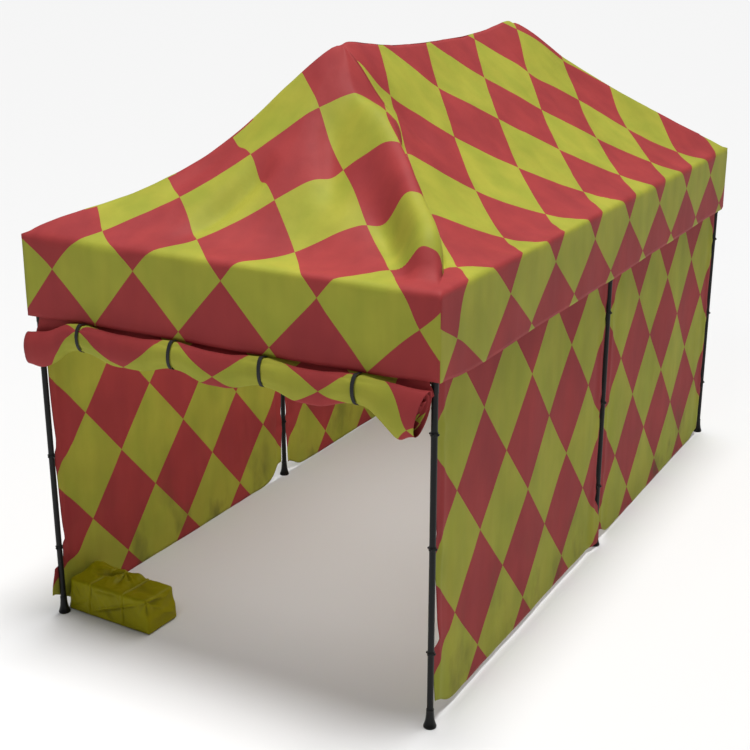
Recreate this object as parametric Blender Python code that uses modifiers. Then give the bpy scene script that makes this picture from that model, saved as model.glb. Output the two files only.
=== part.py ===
"""A two-bay canopy tent, nominally 3 x 6 m, with its front door rolled up.

The frame is six sectional poles in rubber feet, joined at the eave by rails.
In each bay a crossed beam carries a king post, and the post's cap lifts the
roof cloth to a peak. Metres, +Z up, front towards -Y, floor at Z = 0.
"""

import math

import bmesh
import bpy
from mathutils import Matrix, Vector

# Driving dimensions of the frame
LEG_X = 1.475
BAY = 2.900
MIDDLE_Y = 0.050
FRONT_Y = MIDDLE_Y - BAY
BACK_Y = MIDDLE_Y + BAY
POLE_RADIUS = 0.020
POLE_TOP = 2.700
TIE_HEIGHTS = (1.928, 1.209, 0.512)
TIE_RADIUS = 0.024
TIE_HEIGHT = 0.024
FERRULE_RADIUS = 0.0225
FERRULE_BOTTOM = 2.175
FERRULE_TOP = 2.300
SIDES = 12

# Feet, corner blocks, rails and peak supports
FOOT_RADIUS = 0.0415
FOOT_HEIGHT = 0.125
FOOT_FLOOR = 0.020
BLOCK_RADIUS = 0.042
BLOCK_BOTTOM = 2.628
BLOCK_TOP = 2.715
RAIL_RADIUS = 0.016
RAIL_Z = 2.655
PEAK_INSET = 1.540
CAP_RADIUS = 0.055
CAP_TIP_RADIUS = 0.005
CAP_DROP = 0.050
CAP_FACET_SLOPE = 1.25

# The roof cloth and its valances
CLOTH_X = 1.525
CLOTH_FRONT = FRONT_Y - 0.050
CLOTH_BACK = BACK_Y + 0.050
PEAK_FRONT_Y = CLOTH_FRONT + PEAK_INSET
PEAK_BACK_Y = CLOTH_BACK - PEAK_INSET
EAVE_Z = 2.775
PEAK_Z = 3.920
RIDGE_SAG = 0.055
END_SAG = 2.4
CAP_ROUNDING = 0.055
ROOF_DEPTH = 0.008
ROOF_ROWS = 10
LONG_COLUMNS = 26
SHORT_COLUMNS = 16
HEM_Z = 2.230
HEM_RISE = 0.050
VALANCE_DEPTH = 0.006
FOLD_BOW = 0.125
FOLD_DROP_HIGH = 0.130
FOLD_DROP_LOW = 0.036
FOLD_END_RISE = 0.075
FOLD_LEFT_WIDTH = 0.170
FOLD_RIGHT_WIDTH = 0.070

# The walls, the rolled door and its straps
WALL_DEPTH = 0.004
WALL_HEM = 0.035
WALL_CORNER = 0.130
WALL_BOW = 0.026
WALL_ROWS = 11
ROLL_HALF_LENGTH = 1.515
ROLL_Y = FRONT_Y - 0.0856
ROLL_HALF_DEPTH = 0.060
ROLL_SIDES = 14
STRAP_X = (-1.035, -0.300, 0.365, 1.017)
STRAP_WIDTH = 0.026
STRAP_THICKNESS = 0.003
STRAP_SLACK = 0.0014
STRAP_SEAT = 0.016
DOOR_COLUMN = 0.085

# The stuffed carry bag by the front left foot
BAG_LENGTH = 0.720
BAG_WIDTH = 0.320
BAG_HEIGHT = 0.250
BAG_PLACE = Vector((-1.065, -2.660, 0.0))
BAG_TURN = math.radians(-2.0)

GAP = 0.0003

ROOT = "canopy_tent"
GUIDES = "canopy_tent_guides"


def clear_scene():
    """Remove what the scene holds."""
    for old in list(bpy.data.objects):
        bpy.data.objects.remove(old, do_unlink=True)


def collection(name):
    """Return a collection linked to the scene."""
    group = bpy.data.collections.new(name)
    bpy.context.scene.collection.children.link(group)
    return group


def material(name, colour, roughness, metallic=0.0):
    """Return a Principled material with a plain colour."""
    mat = bpy.data.materials.new(name)
    mat.use_nodes = True
    shader = mat.node_tree.nodes["Principled BSDF"]
    shader.inputs["Base Color"].default_value = (*colour, 1.0)
    shader.inputs["Roughness"].default_value = roughness
    shader.inputs["Metallic"].default_value = metallic
    mat.diffuse_color = (*colour, 1.0)
    return mat


def place_mesh(name, bm, mat, group, smooth=True):
    """Turn a bmesh into a named object with its own material."""
    mesh = bpy.data.meshes.new(name)
    bm.to_mesh(mesh)
    bm.free()
    if smooth:
        mesh.shade_smooth()
        mesh.set_sharp_from_angle(angle=math.radians(40.0))
    mesh.materials.append(mat)
    obj = bpy.data.objects.new(name, mesh)
    group.objects.link(obj)
    return obj


def turned(name, profile, location, mat, group):
    """Spin a profile, given from top to bottom down its outer side, about Z."""
    bm = bmesh.new()
    verts = [bm.verts.new((radius, 0.0, height)) for radius, height in profile]
    for upper, lower in zip(verts, verts[1:]):
        bm.edges.new((upper, lower))
    obj = place_mesh(name, bm, mat, group, smooth=False)
    obj.location = location
    screw = obj.modifiers.new("Turn", "SCREW")
    screw.steps = SIDES
    screw.render_steps = SIDES
    screw.use_merge_vertices = True
    screw.merge_threshold = 0.0001
    screw.use_smooth_shade = True
    return obj


def tube(name, start, end, radius, mat, group):
    """A straight round rail with flat ends."""
    curve = bpy.data.curves.new(name, "CURVE")
    curve.dimensions = "3D"
    curve.bevel_depth = radius
    curve.bevel_resolution = 4
    curve.use_fill_caps = True
    spline = curve.splines.new("POLY")
    spline.points.add(1)
    spline.points[0].co = (*start, 1.0)
    spline.points[1].co = (*end, 1.0)
    curve.materials.append(mat)
    obj = bpy.data.objects.new(name, curve)
    group.objects.link(obj)
    return obj


def cloth(name, columns, rows, place, depth, mat, group):
    """A cloth panel: a grid laid on place(u, v), given its depth along one direction."""
    bm = bmesh.new()
    bmesh.ops.create_grid(bm, x_segments=columns, y_segments=rows, size=0.5)
    for vert in bm.verts:
        vert.co = place(vert.co.x + 0.5, vert.co.y + 0.5)
    bmesh.ops.remove_doubles(bm, verts=list(bm.verts), dist=0.00002)
    rim = [edge for edge in bm.edges if edge.is_boundary]
    copy = bmesh.ops.duplicate(bm, geom=list(bm.verts) + list(bm.edges) + list(bm.faces))
    for part in copy["geom"]:
        if isinstance(part, bmesh.types.BMVert):
            part.co += Vector(depth)
    inner_rim = [copy["edge_map"][edge] for edge in rim]
    bmesh.ops.bridge_loops(bm, edges=rim + inner_rim)
    bmesh.ops.recalc_face_normals(bm, faces=list(bm.faces))
    return place_mesh(name, bm, mat, group)


def mix(first, second, amount):
    """Straight interpolation between two numbers."""
    return first + (second - first) * amount


def leg_positions():
    """Name and plan position of each leg."""
    for row, y in (("front", FRONT_Y), ("middle", MIDDLE_Y), ("back", BACK_Y)):
        for side, x in (("right", LEG_X), ("left", -LEG_X)):
            yield f"{row}_{side}", x, y


def make_legs(pole, group):
    """Sectional poles with three tie collars and a ferrule under the valance."""
    profile = [(0.0, POLE_TOP), (POLE_RADIUS, POLE_TOP)]
    collars = [(FERRULE_RADIUS, FERRULE_TOP, FERRULE_BOTTOM)]
    collars += [(TIE_RADIUS, z + TIE_HEIGHT / 2, z - TIE_HEIGHT / 2) for z in TIE_HEIGHTS]
    for radius, upper, lower in collars:
        profile += [(POLE_RADIUS, upper), (radius, upper)]
        profile += [(radius, lower), (POLE_RADIUS, lower)]
    bottom = FOOT_FLOOR + GAP
    profile += [(POLE_RADIUS, bottom), (0.0, bottom)]
    for name, x, y in leg_positions():
        turned(f"leg_{name}", profile, (x, y, 0.0), pole, group)


def make_feet(rubber, group):
    """Flared rubber boots with a socket for the pole."""
    socket = POLE_RADIUS + GAP
    profile = [
        (0.0, FOOT_FLOOR),
        (socket, FOOT_FLOOR),
        (socket, FOOT_HEIGHT),
        (0.0235, FOOT_HEIGHT),
        (0.0250, 0.100),
        (0.0270, 0.066),
        (0.0330, 0.036),
        (FOOT_RADIUS, 0.012),
        (FOOT_RADIUS, 0.0),
        (0.0, 0.0),
    ]
    for name, x, y in leg_positions():
        turned(f"foot_{name}", profile, (x, y, 0.0), rubber, group)


def octagon_block(bm, bottom, top):
    """An eight-sided upright block with flats facing along X, Y and the diagonals."""
    made = bmesh.ops.create_cone(
        bm, cap_ends=True, segments=8, radius1=BLOCK_RADIUS, radius2=BLOCK_RADIUS,
        depth=top - bottom, matrix=Matrix.Translation((0.0, 0.0, (bottom + top) / 2)))
    spin = Matrix.Rotation(math.radians(22.5), 3, "Z")
    bmesh.ops.rotate(bm, verts=made["verts"], cent=(0.0, 0.0, 0.0), matrix=spin)


def make_corner_blocks(moulded, group, guides):
    """Moulded blocks on the pole tops, with a socket from below."""
    bm = bmesh.new()
    depth = POLE_TOP + GAP - BLOCK_BOTTOM + 0.01
    bmesh.ops.create_cone(
        bm, cap_ends=True, segments=SIDES, radius1=POLE_RADIUS + 2 * GAP,
        radius2=POLE_RADIUS + 2 * GAP, depth=depth,
        matrix=Matrix.Translation((0.0, 0.0, POLE_TOP + GAP - depth / 2)))
    socket = place_mesh("block_socket", bm, moulded, guides)
    socket.hide_render = True
    socket.display_type = "WIRE"
    for name, x, y in leg_positions():
        bm = bmesh.new()
        octagon_block(bm, BLOCK_BOTTOM, BLOCK_TOP)
        block = place_mesh(f"block_{name}", bm, moulded, group, smooth=False)
        block.location = (x, y, 0.0)
        own_socket = bpy.data.objects.new(f"socket_{name}", socket.data)
        own_socket.location = block.location
        own_socket.hide_render = True
        own_socket.display_type = "WIRE"
        guides.objects.link(own_socket)
        cut = block.modifiers.new("Socket", "BOOLEAN")
        cut.operation = "DIFFERENCE"
        cut.solver = "EXACT"
        cut.object = own_socket


def block_flat():
    """Distance from a block's axis to its flats."""
    return BLOCK_RADIUS * math.cos(math.radians(22.5))


def make_rails(pole, group):
    """Eave rails between the corner blocks, and one across the middle."""
    reach = block_flat() + GAP
    for name, y in (("front", FRONT_Y), ("middle", MIDDLE_Y), ("back", BACK_Y)):
        ends = [(-LEG_X + reach, y, RAIL_Z), (LEG_X - reach, y, RAIL_Z)]
        tube(f"rail_{name}", *ends, RAIL_RADIUS, pole, group)
    for side, x in (("right", LEG_X), ("left", -LEG_X)):
        for name, y in (("front", FRONT_Y), ("back", MIDDLE_Y)):
            ends = [(x, y + reach, RAIL_Z), (x, y + BAY - reach, RAIL_Z)]
            tube(f"rail_{side}_{name}", *ends, RAIL_RADIUS, pole, group)


def make_cross_beams(pole, group, guides):
    """In each bay, four diagonal arms from a centre block to the corner blocks."""
    for name, peak_y, near_y in (("front", PEAK_FRONT_Y, FRONT_Y), ("back", PEAK_BACK_Y, MIDDLE_Y)):
        bm = bmesh.new()
        octagon_block(bm, BLOCK_BOTTOM, BLOCK_TOP)
        hub = place_mesh(f"cross_beam_{name}", bm, pole, group, smooth=False)
        hub.location = (0.0, peak_y, 0.0)
        for corner_x in (-LEG_X, LEG_X):
            for corner_y in (near_y, near_y + BAY):
                corner = Vector((corner_x, corner_y, RAIL_Z))
                centre = Vector((0.0, peak_y, RAIL_Z))
                run = (corner - centre).normalized()
                outer = corner - run * (block_flat() + 3 * GAP)
                span = (outer - centre).length
                bm = bmesh.new()
                turn = run.to_track_quat("Z", "Y").to_matrix().to_4x4()
                bmesh.ops.create_cone(
                    bm, cap_ends=True, segments=SIDES, radius1=RAIL_RADIUS, radius2=RAIL_RADIUS,
                    depth=span, matrix=Matrix.Translation((centre + outer) / 2) @ turn)
                arm = place_mesh(f"arm_{name}", bm, pole, guides)
                arm.hide_render = True
                arm.display_type = "WIRE"
                join = hub.modifiers.new("Arm", "BOOLEAN")
                join.operation = "UNION"
                join.solver = "EXACT"
                join.object = arm


def make_king_posts(pole, group):
    """Posts on the cross beams, each ending in a rounded cap under a peak."""
    row = CLOTH_X / ROOF_ROWS
    around = [(x * row, y * row) for x in (-1, 0, 1) for y in (-1, 0, 1) if x or y]
    slope = max((PEAK_Z - roof_height(x, peak_y + y)) / math.hypot(x, y)
                for peak_y in (PEAK_FRONT_Y, PEAK_BACK_Y) for x, y in around)
    # A facet between two of these places falls a little faster than either
    tip = PEAK_Z - ROOF_DEPTH - 2 * GAP - CAP_TIP_RADIUS * slope * CAP_FACET_SLOPE
    bottom = BLOCK_TOP + GAP
    profile = [(0.0, tip), (CAP_TIP_RADIUS, tip)]
    for step in range(1, 5):
        angle = math.radians(22.5 * step)
        radius = mix(CAP_TIP_RADIUS, CAP_RADIUS, math.sin(angle))
        profile.append((radius, tip - CAP_DROP * 1.05 * math.sin(angle) - 0.012 * step))
    rim = profile[-1][1]
    profile += [(CAP_RADIUS, rim - 0.012), (POLE_RADIUS, rim - 0.030)]
    profile += [(POLE_RADIUS, bottom), (0.0, bottom)]
    for name, y in (("front", PEAK_FRONT_Y), ("back", PEAK_BACK_Y)):
        turned(f"king_post_{name}", profile, (0.0, y, 0.0), pole, group)


def ease(value):
    """A smooth step from 0 to 1."""
    value = max(0.0, min(1.0, value))
    return value * value * (3.0 - 2.0 * value)


def bell(value):
    """A bump that is 1 at zero."""
    return math.exp(-value * value)


def soft_min(first, second, width):
    """The smaller of two shares, rounded where they are nearly the same."""
    near = max(0.0, width - abs(first - second)) / width
    return min(first, second) - near * near * width / 4.0


def hip_sag(right, y, lower):
    """Sag of the nearest hip: slack hangs at the front, the back hips stand nearly straight."""
    hang = lower ** 2.0 * (1.0 - lower) ** 2.1
    if y < 0.0:
        return mix(3.05 * hang, 1.215 * lower * (1.0 - lower) ** 1.6, right)
    return hang * mix(1.5, 0.5, right)


def slope_sag(x, y, across, along, lower):
    """Sag of the slope under a plan point: steep ends with a flat shelf, even long sides."""
    if along < across:
        slack = mix(0.55, 1.22, ease((x + 1.0) / 1.7)) if y < 0.0 else 0.85
        return END_SAG * slack * lower ** 1.25 * (1.0 - lower) ** 2.9
    side = 0.45 if x < 0.0 else 0.36 + 0.38 * bell((y + 1.3) / 0.95) + 0.16 * bell((y - 2.1) / 0.5)
    return side * lower ** 0.75 * (1.0 - lower) ** 1.1


def cloth_height(x, y):
    """Height of the sagging roof cloth over a point of the plan, the fold left out."""
    across = max(0.0, 1.0 - abs(x) / CLOTH_X)
    along = max(0.0, min(y - CLOTH_FRONT, CLOTH_BACK - y) / PEAK_INSET)
    right = ease((x + 0.3) / 0.6)
    slack = right if y < 0.0 else 0.0
    nearer = min(across, along)
    blunt = 0.0001 + mix(0.06, 0.34, slack) * ease((1.0 - nearer) / 0.35) * ease(nearer / 0.3)
    lower = max(0.0, min(1.0, soft_min(across, along, blunt)))
    off_hip = 1.0 - bell((across - along) / mix(0.26, 0.40, slack))
    sag = mix(hip_sag(right, y, lower), slope_sag(x, y, across, along, lower), off_hip)
    height = mix(EAVE_Z, PEAK_Z, lower) - sag
    reach = math.hypot(x, y - (PEAK_FRONT_Y if y < MIDDLE_Y else PEAK_BACK_Y))
    rounding = reach + CAP_ROUNDING - math.hypot(reach, CAP_ROUNDING)
    height += 0.75 * rounding * bell(reach / 0.42)
    if PEAK_FRONT_Y < y < PEAK_BACK_Y:
        middle = (PEAK_FRONT_Y + PEAK_BACK_Y) / 2
        half = (PEAK_BACK_Y - PEAK_FRONT_Y) / 2
        height -= RIDGE_SAG * (1.0 - ((y - middle) / half) ** 2) * lower
    return height


def front_right_fold(x, y):
    """Extra height of the slack fold that stands beside the front right hip."""
    length = math.hypot(CLOTH_X, PEAK_INSET)
    hip = Vector((CLOTH_X, -PEAK_INSET)) / length
    beside = Vector((PEAK_INSET, CLOTH_X)) / length
    here = Vector((x, y - PEAK_FRONT_Y))
    along = here.dot(hip)
    if along <= 0.0 or along >= length:
        return 0.0
    bow = FOLD_BOW * math.sin(math.pi * along / length) ** 0.8
    gap = here.dot(beside) - bow
    crest = hip * along + beside * bow
    top = mix(PEAK_Z, EAVE_Z, along / length)
    top -= mix(FOLD_DROP_HIGH, FOLD_DROP_LOW, ease((along - 0.28) / 0.36))
    top += FOLD_END_RISE * ease((along - 1.45) / 0.40)
    stand = top - cloth_height(crest.x, crest.y + PEAK_FRONT_Y)
    strength = ease(along / 0.42) * (1.0 - ease((along - 1.88) / 0.24))
    width = FOLD_LEFT_WIDTH if gap < 0.0 else FOLD_RIGHT_WIDTH
    return stand * strength * bell(gap / width)


def roof_height(x, y):
    """Height of the roof cloth over a point of the plan."""
    return cloth_height(x, y) + front_right_fold(x, y)


def make_roof(cloth_mat, group):
    """Four sewn slopes that meet at the hips and the ridge."""
    hip_gap = 1.5 * GAP

    def side(sign):
        def place(u, v):
            eave = mix(CLOTH_FRONT + hip_gap, CLOTH_BACK - hip_gap, u)
            ridge = mix(PEAK_FRONT_Y + hip_gap, PEAK_BACK_Y - hip_gap, u)
            y = mix(eave, ridge, v)
            flat_y = mix(mix(CLOTH_FRONT, CLOTH_BACK, u), mix(PEAK_FRONT_Y, PEAK_BACK_Y, u), v)
            x = CLOTH_X * (1.0 - v)
            height = roof_height(sign * x, flat_y)
            return Vector((sign * mix(CLOTH_X, GAP / 2, v), y, height))
        return place

    def end(eave, peak):
        def place(u, v):
            y = mix(eave, peak, v)
            x = CLOTH_X * (2.0 * u - 1.0) * (1.0 - v)
            return Vector((x, y, roof_height(x, y)))
        return place

    depth = (0.0, 0.0, -ROOF_DEPTH)
    front = end(CLOTH_FRONT, PEAK_FRONT_Y)
    back = end(CLOTH_BACK, PEAK_BACK_Y)
    cloth("roof_right", LONG_COLUMNS, ROOF_ROWS, side(1.0), depth, cloth_mat, group)
    cloth("roof_left", LONG_COLUMNS, ROOF_ROWS, side(-1.0), depth, cloth_mat, group)
    cloth("roof_front", SHORT_COLUMNS, ROOF_ROWS, front, depth, cloth_mat, group)
    cloth("roof_back", SHORT_COLUMNS, ROOF_ROWS, back, depth, cloth_mat, group)


def front_edge_height(x, y):
    """Height of an end slope's faceted eave at a place across it."""
    share = (x / CLOTH_X + 1.0) / 2.0 * SHORT_COLUMNS
    step = min(int(share), SHORT_COLUMNS - 1)
    left = CLOTH_X * (2.0 * step / SHORT_COLUMNS - 1.0)
    right = CLOTH_X * (2.0 * (step + 1) / SHORT_COLUMNS - 1.0)
    return mix(roof_height(left, y), roof_height(right, y), share - step)


def make_valances(cloth_mat, group):
    """The upright bands that hang from the roof's edge."""
    drop = ROOF_DEPTH + GAP
    inner = CLOTH_X - VALANCE_DEPTH - GAP

    def side(sign):
        def place(u, v):
            y = mix(CLOTH_FRONT, CLOTH_BACK, u)
            edge = min(roof_height(sign * CLOTH_X, y), front_edge_height(sign * inner, y))
            return Vector((sign * CLOTH_X, y, mix(edge - drop, HEM_Z, v)))
        return place

    def end(y, rise):
        def place(u, v):
            x = max(-inner, min(inner, CLOTH_X * (2.0 * u - 1.0)))
            top = front_edge_height(x, y) - drop
            hem = front_hem(x) if rise else HEM_Z
            return Vector((x, y, mix(top, hem, v)))
        return place

    across = Vector((VALANCE_DEPTH, 0.0, 0.0))
    along = Vector((0.0, VALANCE_DEPTH, 0.0))
    front = end(CLOTH_FRONT, HEM_RISE)
    back = end(CLOTH_BACK, 0.0)
    cloth("valance_right", LONG_COLUMNS, 3, side(1.0), -across, cloth_mat, group)
    cloth("valance_left", LONG_COLUMNS, 3, side(-1.0), across, cloth_mat, group)
    cloth("valance_front", SHORT_COLUMNS, 3, front, along, cloth_mat, group)
    cloth("valance_back", SHORT_COLUMNS, 3, back, -along, cloth_mat, group)


def edge_clearance(z):
    """How far a wall's side edge stands from the pole's axis at a height."""
    held = TIE_RADIUS + GAP
    levels = (RAIL_Z,) + TIE_HEIGHTS
    for upper, lower in zip(levels, levels[1:]):
        if lower <= z <= upper:
            share = (upper - z) / (upper - lower)
            clear = held + WALL_BOW * math.sin(math.pi * share)
            if upper == RAIL_Z:
                clear = max(clear, mix(BLOCK_RADIUS + 0.004, held, min(1.0, share * 1.4)))
            return clear
    share = (TIE_HEIGHTS[-1] - z) / (TIE_HEIGHTS[-1] - WALL_CORNER)
    return held + WALL_BOW * math.sin(math.pi * min(1.0, share) * 0.6)


def make_wall(name, start, run, outward, cloth_mat, group):
    """A wall panel hung from the eave rail and tied to a pole on each side."""
    top = RAIL_Z - RAIL_RADIUS - GAP
    tie_row = WALL_ROWS - 2
    columns = 14

    def place(u, v):
        lifted = math.exp(-((min(u, 1.0 - u) * run.length / 0.10) ** 2))
        hem = mix(WALL_HEM, WALL_CORNER, lifted)
        row = v * WALL_ROWS
        if row <= tie_row:
            z = mix(top, TIE_HEIGHTS[-1], row / tie_row)
        else:
            z = mix(TIE_HEIGHTS[-1], hem, (row - tie_row) / (WALL_ROWS - tie_row))
        clear = edge_clearance(z)
        near = clear / run.length
        along = mix(near, 1.0 - near, u)
        swell = math.sin(math.pi * u) * math.sin(math.pi * min(1.0, v * 1.1) * 0.5)
        wave = 0.012 * swell * math.sin(6.0 * math.pi * u + 0.6)
        here = start + run * along + outward * (wave + WALL_DEPTH / 2)
        return Vector((here.x, here.y, z))

    cloth(name, columns, WALL_ROWS, place, -outward * WALL_DEPTH, cloth_mat, group)


def make_walls(cloth_mat, group):
    """Two walls on each long side and one across the back."""
    for side, x in (("right", LEG_X), ("left", -LEG_X)):
        outward = Vector((math.copysign(1.0, x), 0.0, 0.0))
        for bay, y in (("front", FRONT_Y), ("back", MIDDLE_Y)):
            start = Vector((x, y, 0.0))
            make_wall(f"wall_{side}_{bay}", start, Vector((0.0, BAY, 0.0)), outward, cloth_mat, group)
    start = Vector((-LEG_X, BACK_Y, 0.0))
    run = Vector((2 * LEG_X, 0.0, 0.0))
    make_wall("wall_back", start, run, Vector((0.0, 1.0, 0.0)), cloth_mat, group)


def roll_section(x):
    """Middle height and half height of the rolled door at a place along it."""
    nearest = min(abs(x - strap) for strap in STRAP_X)
    slack = min(1.0, max(0.0, nearest - STRAP_SEAT) / 0.33)
    bulge = math.sin(slack * math.pi / 2) ** 2
    droop = max(0.0, (abs(x) - 1.10) / (ROLL_HALF_LENGTH - 1.10))
    middle = 2.130 - 0.030 * bulge - 0.085 * droop
    half = 0.075 + 0.020 * bulge + 0.022 * droop
    return middle, half


def door_columns(reach):
    """Places along the door, with a level seat under each strap."""
    edges = [-reach]
    for strap in STRAP_X:
        edges += [strap - STRAP_SEAT, strap + STRAP_SEAT]
    edges.append(reach)
    columns = [edges[0]]
    for start, end in zip(edges, edges[1:]):
        parts = max(1, round((end - start) / DOOR_COLUMN))
        columns += [mix(start, end, step / parts) for step in range(1, parts + 1)]
    return columns


def make_rolled_door(cloth_mat, group):
    """The front door: the cloth hanging from the rail, and the roll below it."""
    columns = door_columns(ROLL_HALF_LENGTH)
    last = len(columns) - 1

    bm = bmesh.new()
    bmesh.ops.create_grid(bm, x_segments=last, y_segments=ROLL_SIDES, size=0.5)
    for vert in bm.verts:
        x = columns[round((vert.co.x + 0.5) * last)]
        angle = 2.0 * math.pi * (vert.co.y + 0.5)
        middle, half = roll_section(x)
        y = ROLL_Y - ROLL_HALF_DEPTH * math.cos(angle)
        vert.co = (x, y, middle + half * math.sin(angle))
    bmesh.ops.remove_doubles(bm, verts=list(bm.verts), dist=0.00002)
    bmesh.ops.holes_fill(bm, edges=[edge for edge in bm.edges if edge.is_boundary], sides=0)
    bmesh.ops.recalc_face_normals(bm, faces=list(bm.faces))
    place_mesh("door_roll", bm, cloth_mat, group)

    reach = LEG_X - BLOCK_RADIUS - 0.010
    corner = 2.0 * math.pi / ROLL_SIDES
    half_cloth = WALL_DEPTH / 2
    rise = (math.sin(2 * corner) - math.sin(corner)) / (math.cos(corner) - math.cos(2 * corner))

    spread = [-reach] + [x for x in columns if abs(x) < reach - 0.01] + [reach]
    final = len(spread) - 1

    def hanging(u, v):
        x = spread[round(u * final)]
        middle, half = roll_section(x)
        foot_y = ROLL_Y + ROLL_HALF_DEPTH * math.cos(corner) - half_cloth
        slope = rise * half / ROLL_HALF_DEPTH
        foot_z = middle + half * math.sin(corner) + half_cloth * slope + 2 * GAP
        top = RAIL_Z - RAIL_RADIUS - GAP
        return Vector((x, mix(FRONT_Y - half_cloth, foot_y, v), mix(top, foot_z, v)))

    cloth("door_hanging", final, 2, hanging, (0.0, WALL_DEPTH, 0.0), cloth_mat, group)


def front_hem(x):
    """Height of the front valance's hem, which rises a little in the middle."""
    return HEM_Z + HEM_RISE * (1.0 - (x / CLOTH_X) ** 2)


def strap_outline(x):
    """The inside of a loop over the front rail and round the roll, seen along X."""
    middle, half = roll_section(x)
    over_rail = RAIL_RADIUS + 3 * GAP
    points = []
    for step in range(7):
        angle = math.radians(180.0 - 30.0 * step)
        points.append((FRONT_Y + over_rail * math.cos(angle), RAIL_Z + over_rail * math.sin(angle)))
    for step in range(18):
        angle = math.radians(15.0 - 18.0 * step)
        y = ROLL_Y + (ROLL_HALF_DEPTH + STRAP_SLACK) * math.cos(angle)
        points.append((y, middle + (half + STRAP_SLACK) * math.sin(angle)))
    valance_back = CLOTH_FRONT + VALANCE_DEPTH
    points.append((valance_back + 2 * STRAP_THICKNESS, front_hem(x) - 0.006))
    return points


def outset(loop, distance):
    """A clockwise loop moved outwards by the same distance all round."""
    moved = []
    for before, here, after in zip(loop[-1:] + loop[:-1], loop, loop[1:] + loop[:1]):
        here = Vector(here)
        arriving = (here - Vector(before)).normalized()
        leaving = (Vector(after) - here).normalized()
        first = Vector((-arriving.y, arriving.x))
        second = Vector((-leaving.y, leaving.x))
        moved.append(tuple(here + (first + second) * (distance / (1.0 + first.dot(second)))))
    return moved


def make_straps(webbing, group):
    """Webbing loops that hold the roll up under the front rail."""
    for number, x in enumerate(STRAP_X, start=1):
        curve = bpy.data.curves.new(f"door_strap_{number}", "CURVE")
        curve.dimensions = "2D"
        curve.fill_mode = "BOTH"
        curve.extrude = STRAP_WIDTH / 2
        inside = strap_outline(x)
        for loop in (outset(inside, STRAP_THICKNESS), inside):
            spline = curve.splines.new("POLY")
            spline.points.add(len(loop) - 1)
            for point, (y, z) in zip(spline.points, loop):
                point.co = (y, z, 0.0, 1.0)
            spline.use_cyclic_u = True
        curve.materials.append(webbing)
        strap = bpy.data.objects.new(f"door_strap_{number}", curve)
        strap.matrix_world = Matrix(((0, 0, 1, x), (1, 0, 0, 0), (0, 1, 0, 0), (0, 0, 0, 1)))
        group.objects.link(strap)


def make_bag(fabric, group):
    """The tent's stuffed carry bag, lying flat on the ground."""
    bm = bmesh.new()
    bmesh.ops.create_cube(bm, size=1.0)
    bmesh.ops.subdivide_edges(bm, edges=list(bm.edges), cuts=5, use_grid_fill=True)
    for vert in bm.verts:
        x, y, z = vert.co * 2.0
        taper = 1.0 - 0.03 * z - 0.02 * abs(z) ** 3
        vert.co.x = BAG_LENGTH / 2 * x * taper * (1.0 - 0.03 * y * y)
        vert.co.y = BAG_WIDTH / 2 * y * taper * (1.0 - 0.03 * x * x)
        vert.co.z = BAG_HEIGHT * (0.5 + 0.5 * z * (1.0 - 0.05 * (x * x + y * y) * (z > 0.0)))
    bag = place_mesh("carry_bag", bm, fabric, group)
    bag.location = BAG_PLACE
    bag.rotation_euler = (0.0, 0.0, BAG_TURN)


def main():
    clear_scene()
    group = collection(ROOT)
    guides = collection(GUIDES)
    pole = material("coated_steel", (0.028, 0.028, 0.030), 0.42, 0.0)
    moulded = material("black_nylon", (0.012, 0.012, 0.012), 0.5)
    rubber = material("black_rubber", (0.015, 0.015, 0.015), 0.75)
    roof_cloth = material("harlequin_canopy_cloth", (0.42, 0.38, 0.08), 0.8)
    wall_cloth = material("harlequin_wall_cloth", (0.33, 0.08, 0.07), 0.8)
    webbing = material("black_webbing", (0.015, 0.015, 0.016), 0.8)
    bag_cloth = material("olive_bag_cloth", (0.12, 0.11, 0.01), 0.75)
    make_legs(pole, group)
    make_feet(rubber, group)
    make_corner_blocks(moulded, group, guides)
    make_rails(pole, group)
    make_cross_beams(pole, group, guides)
    make_king_posts(pole, group)
    make_roof(roof_cloth, group)
    make_valances(roof_cloth, group)
    make_walls(wall_cloth, group)
    make_rolled_door(wall_cloth, group)
    make_straps(webbing, group)
    make_bag(bag_cloth, group)


main()
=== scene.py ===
"""Dresses a two-bay canopy tent: harlequin cloth, sectional poles, straps, carry bag and studio."""

import functools
import math

import bmesh
import bpy
from mathutils import Matrix, Vector, noise


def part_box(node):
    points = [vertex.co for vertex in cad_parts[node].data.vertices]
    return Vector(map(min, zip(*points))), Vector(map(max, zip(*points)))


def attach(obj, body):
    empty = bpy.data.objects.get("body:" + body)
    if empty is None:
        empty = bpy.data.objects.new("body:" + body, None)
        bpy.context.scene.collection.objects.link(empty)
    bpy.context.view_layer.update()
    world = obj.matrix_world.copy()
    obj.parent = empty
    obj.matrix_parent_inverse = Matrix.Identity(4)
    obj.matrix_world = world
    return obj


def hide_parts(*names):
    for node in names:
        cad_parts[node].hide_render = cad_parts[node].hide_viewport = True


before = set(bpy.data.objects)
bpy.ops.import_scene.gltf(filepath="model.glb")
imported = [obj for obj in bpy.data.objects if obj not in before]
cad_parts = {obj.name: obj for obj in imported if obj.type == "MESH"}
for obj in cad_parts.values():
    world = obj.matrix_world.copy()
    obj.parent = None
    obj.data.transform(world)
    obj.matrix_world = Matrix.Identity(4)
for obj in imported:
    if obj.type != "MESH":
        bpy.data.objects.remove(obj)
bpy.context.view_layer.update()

bl_info = {
    "name": "Canopy Tent Dresser",
    "version": (1, 0, 0),
    "blender": (4, 5, 0),
    "location": "View3D > Sidebar > Tent",
    "description": "Models and finishes the cloth, poles and bag of a canopy tent on its frame",
    "category": "Add Mesh",
}

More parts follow.
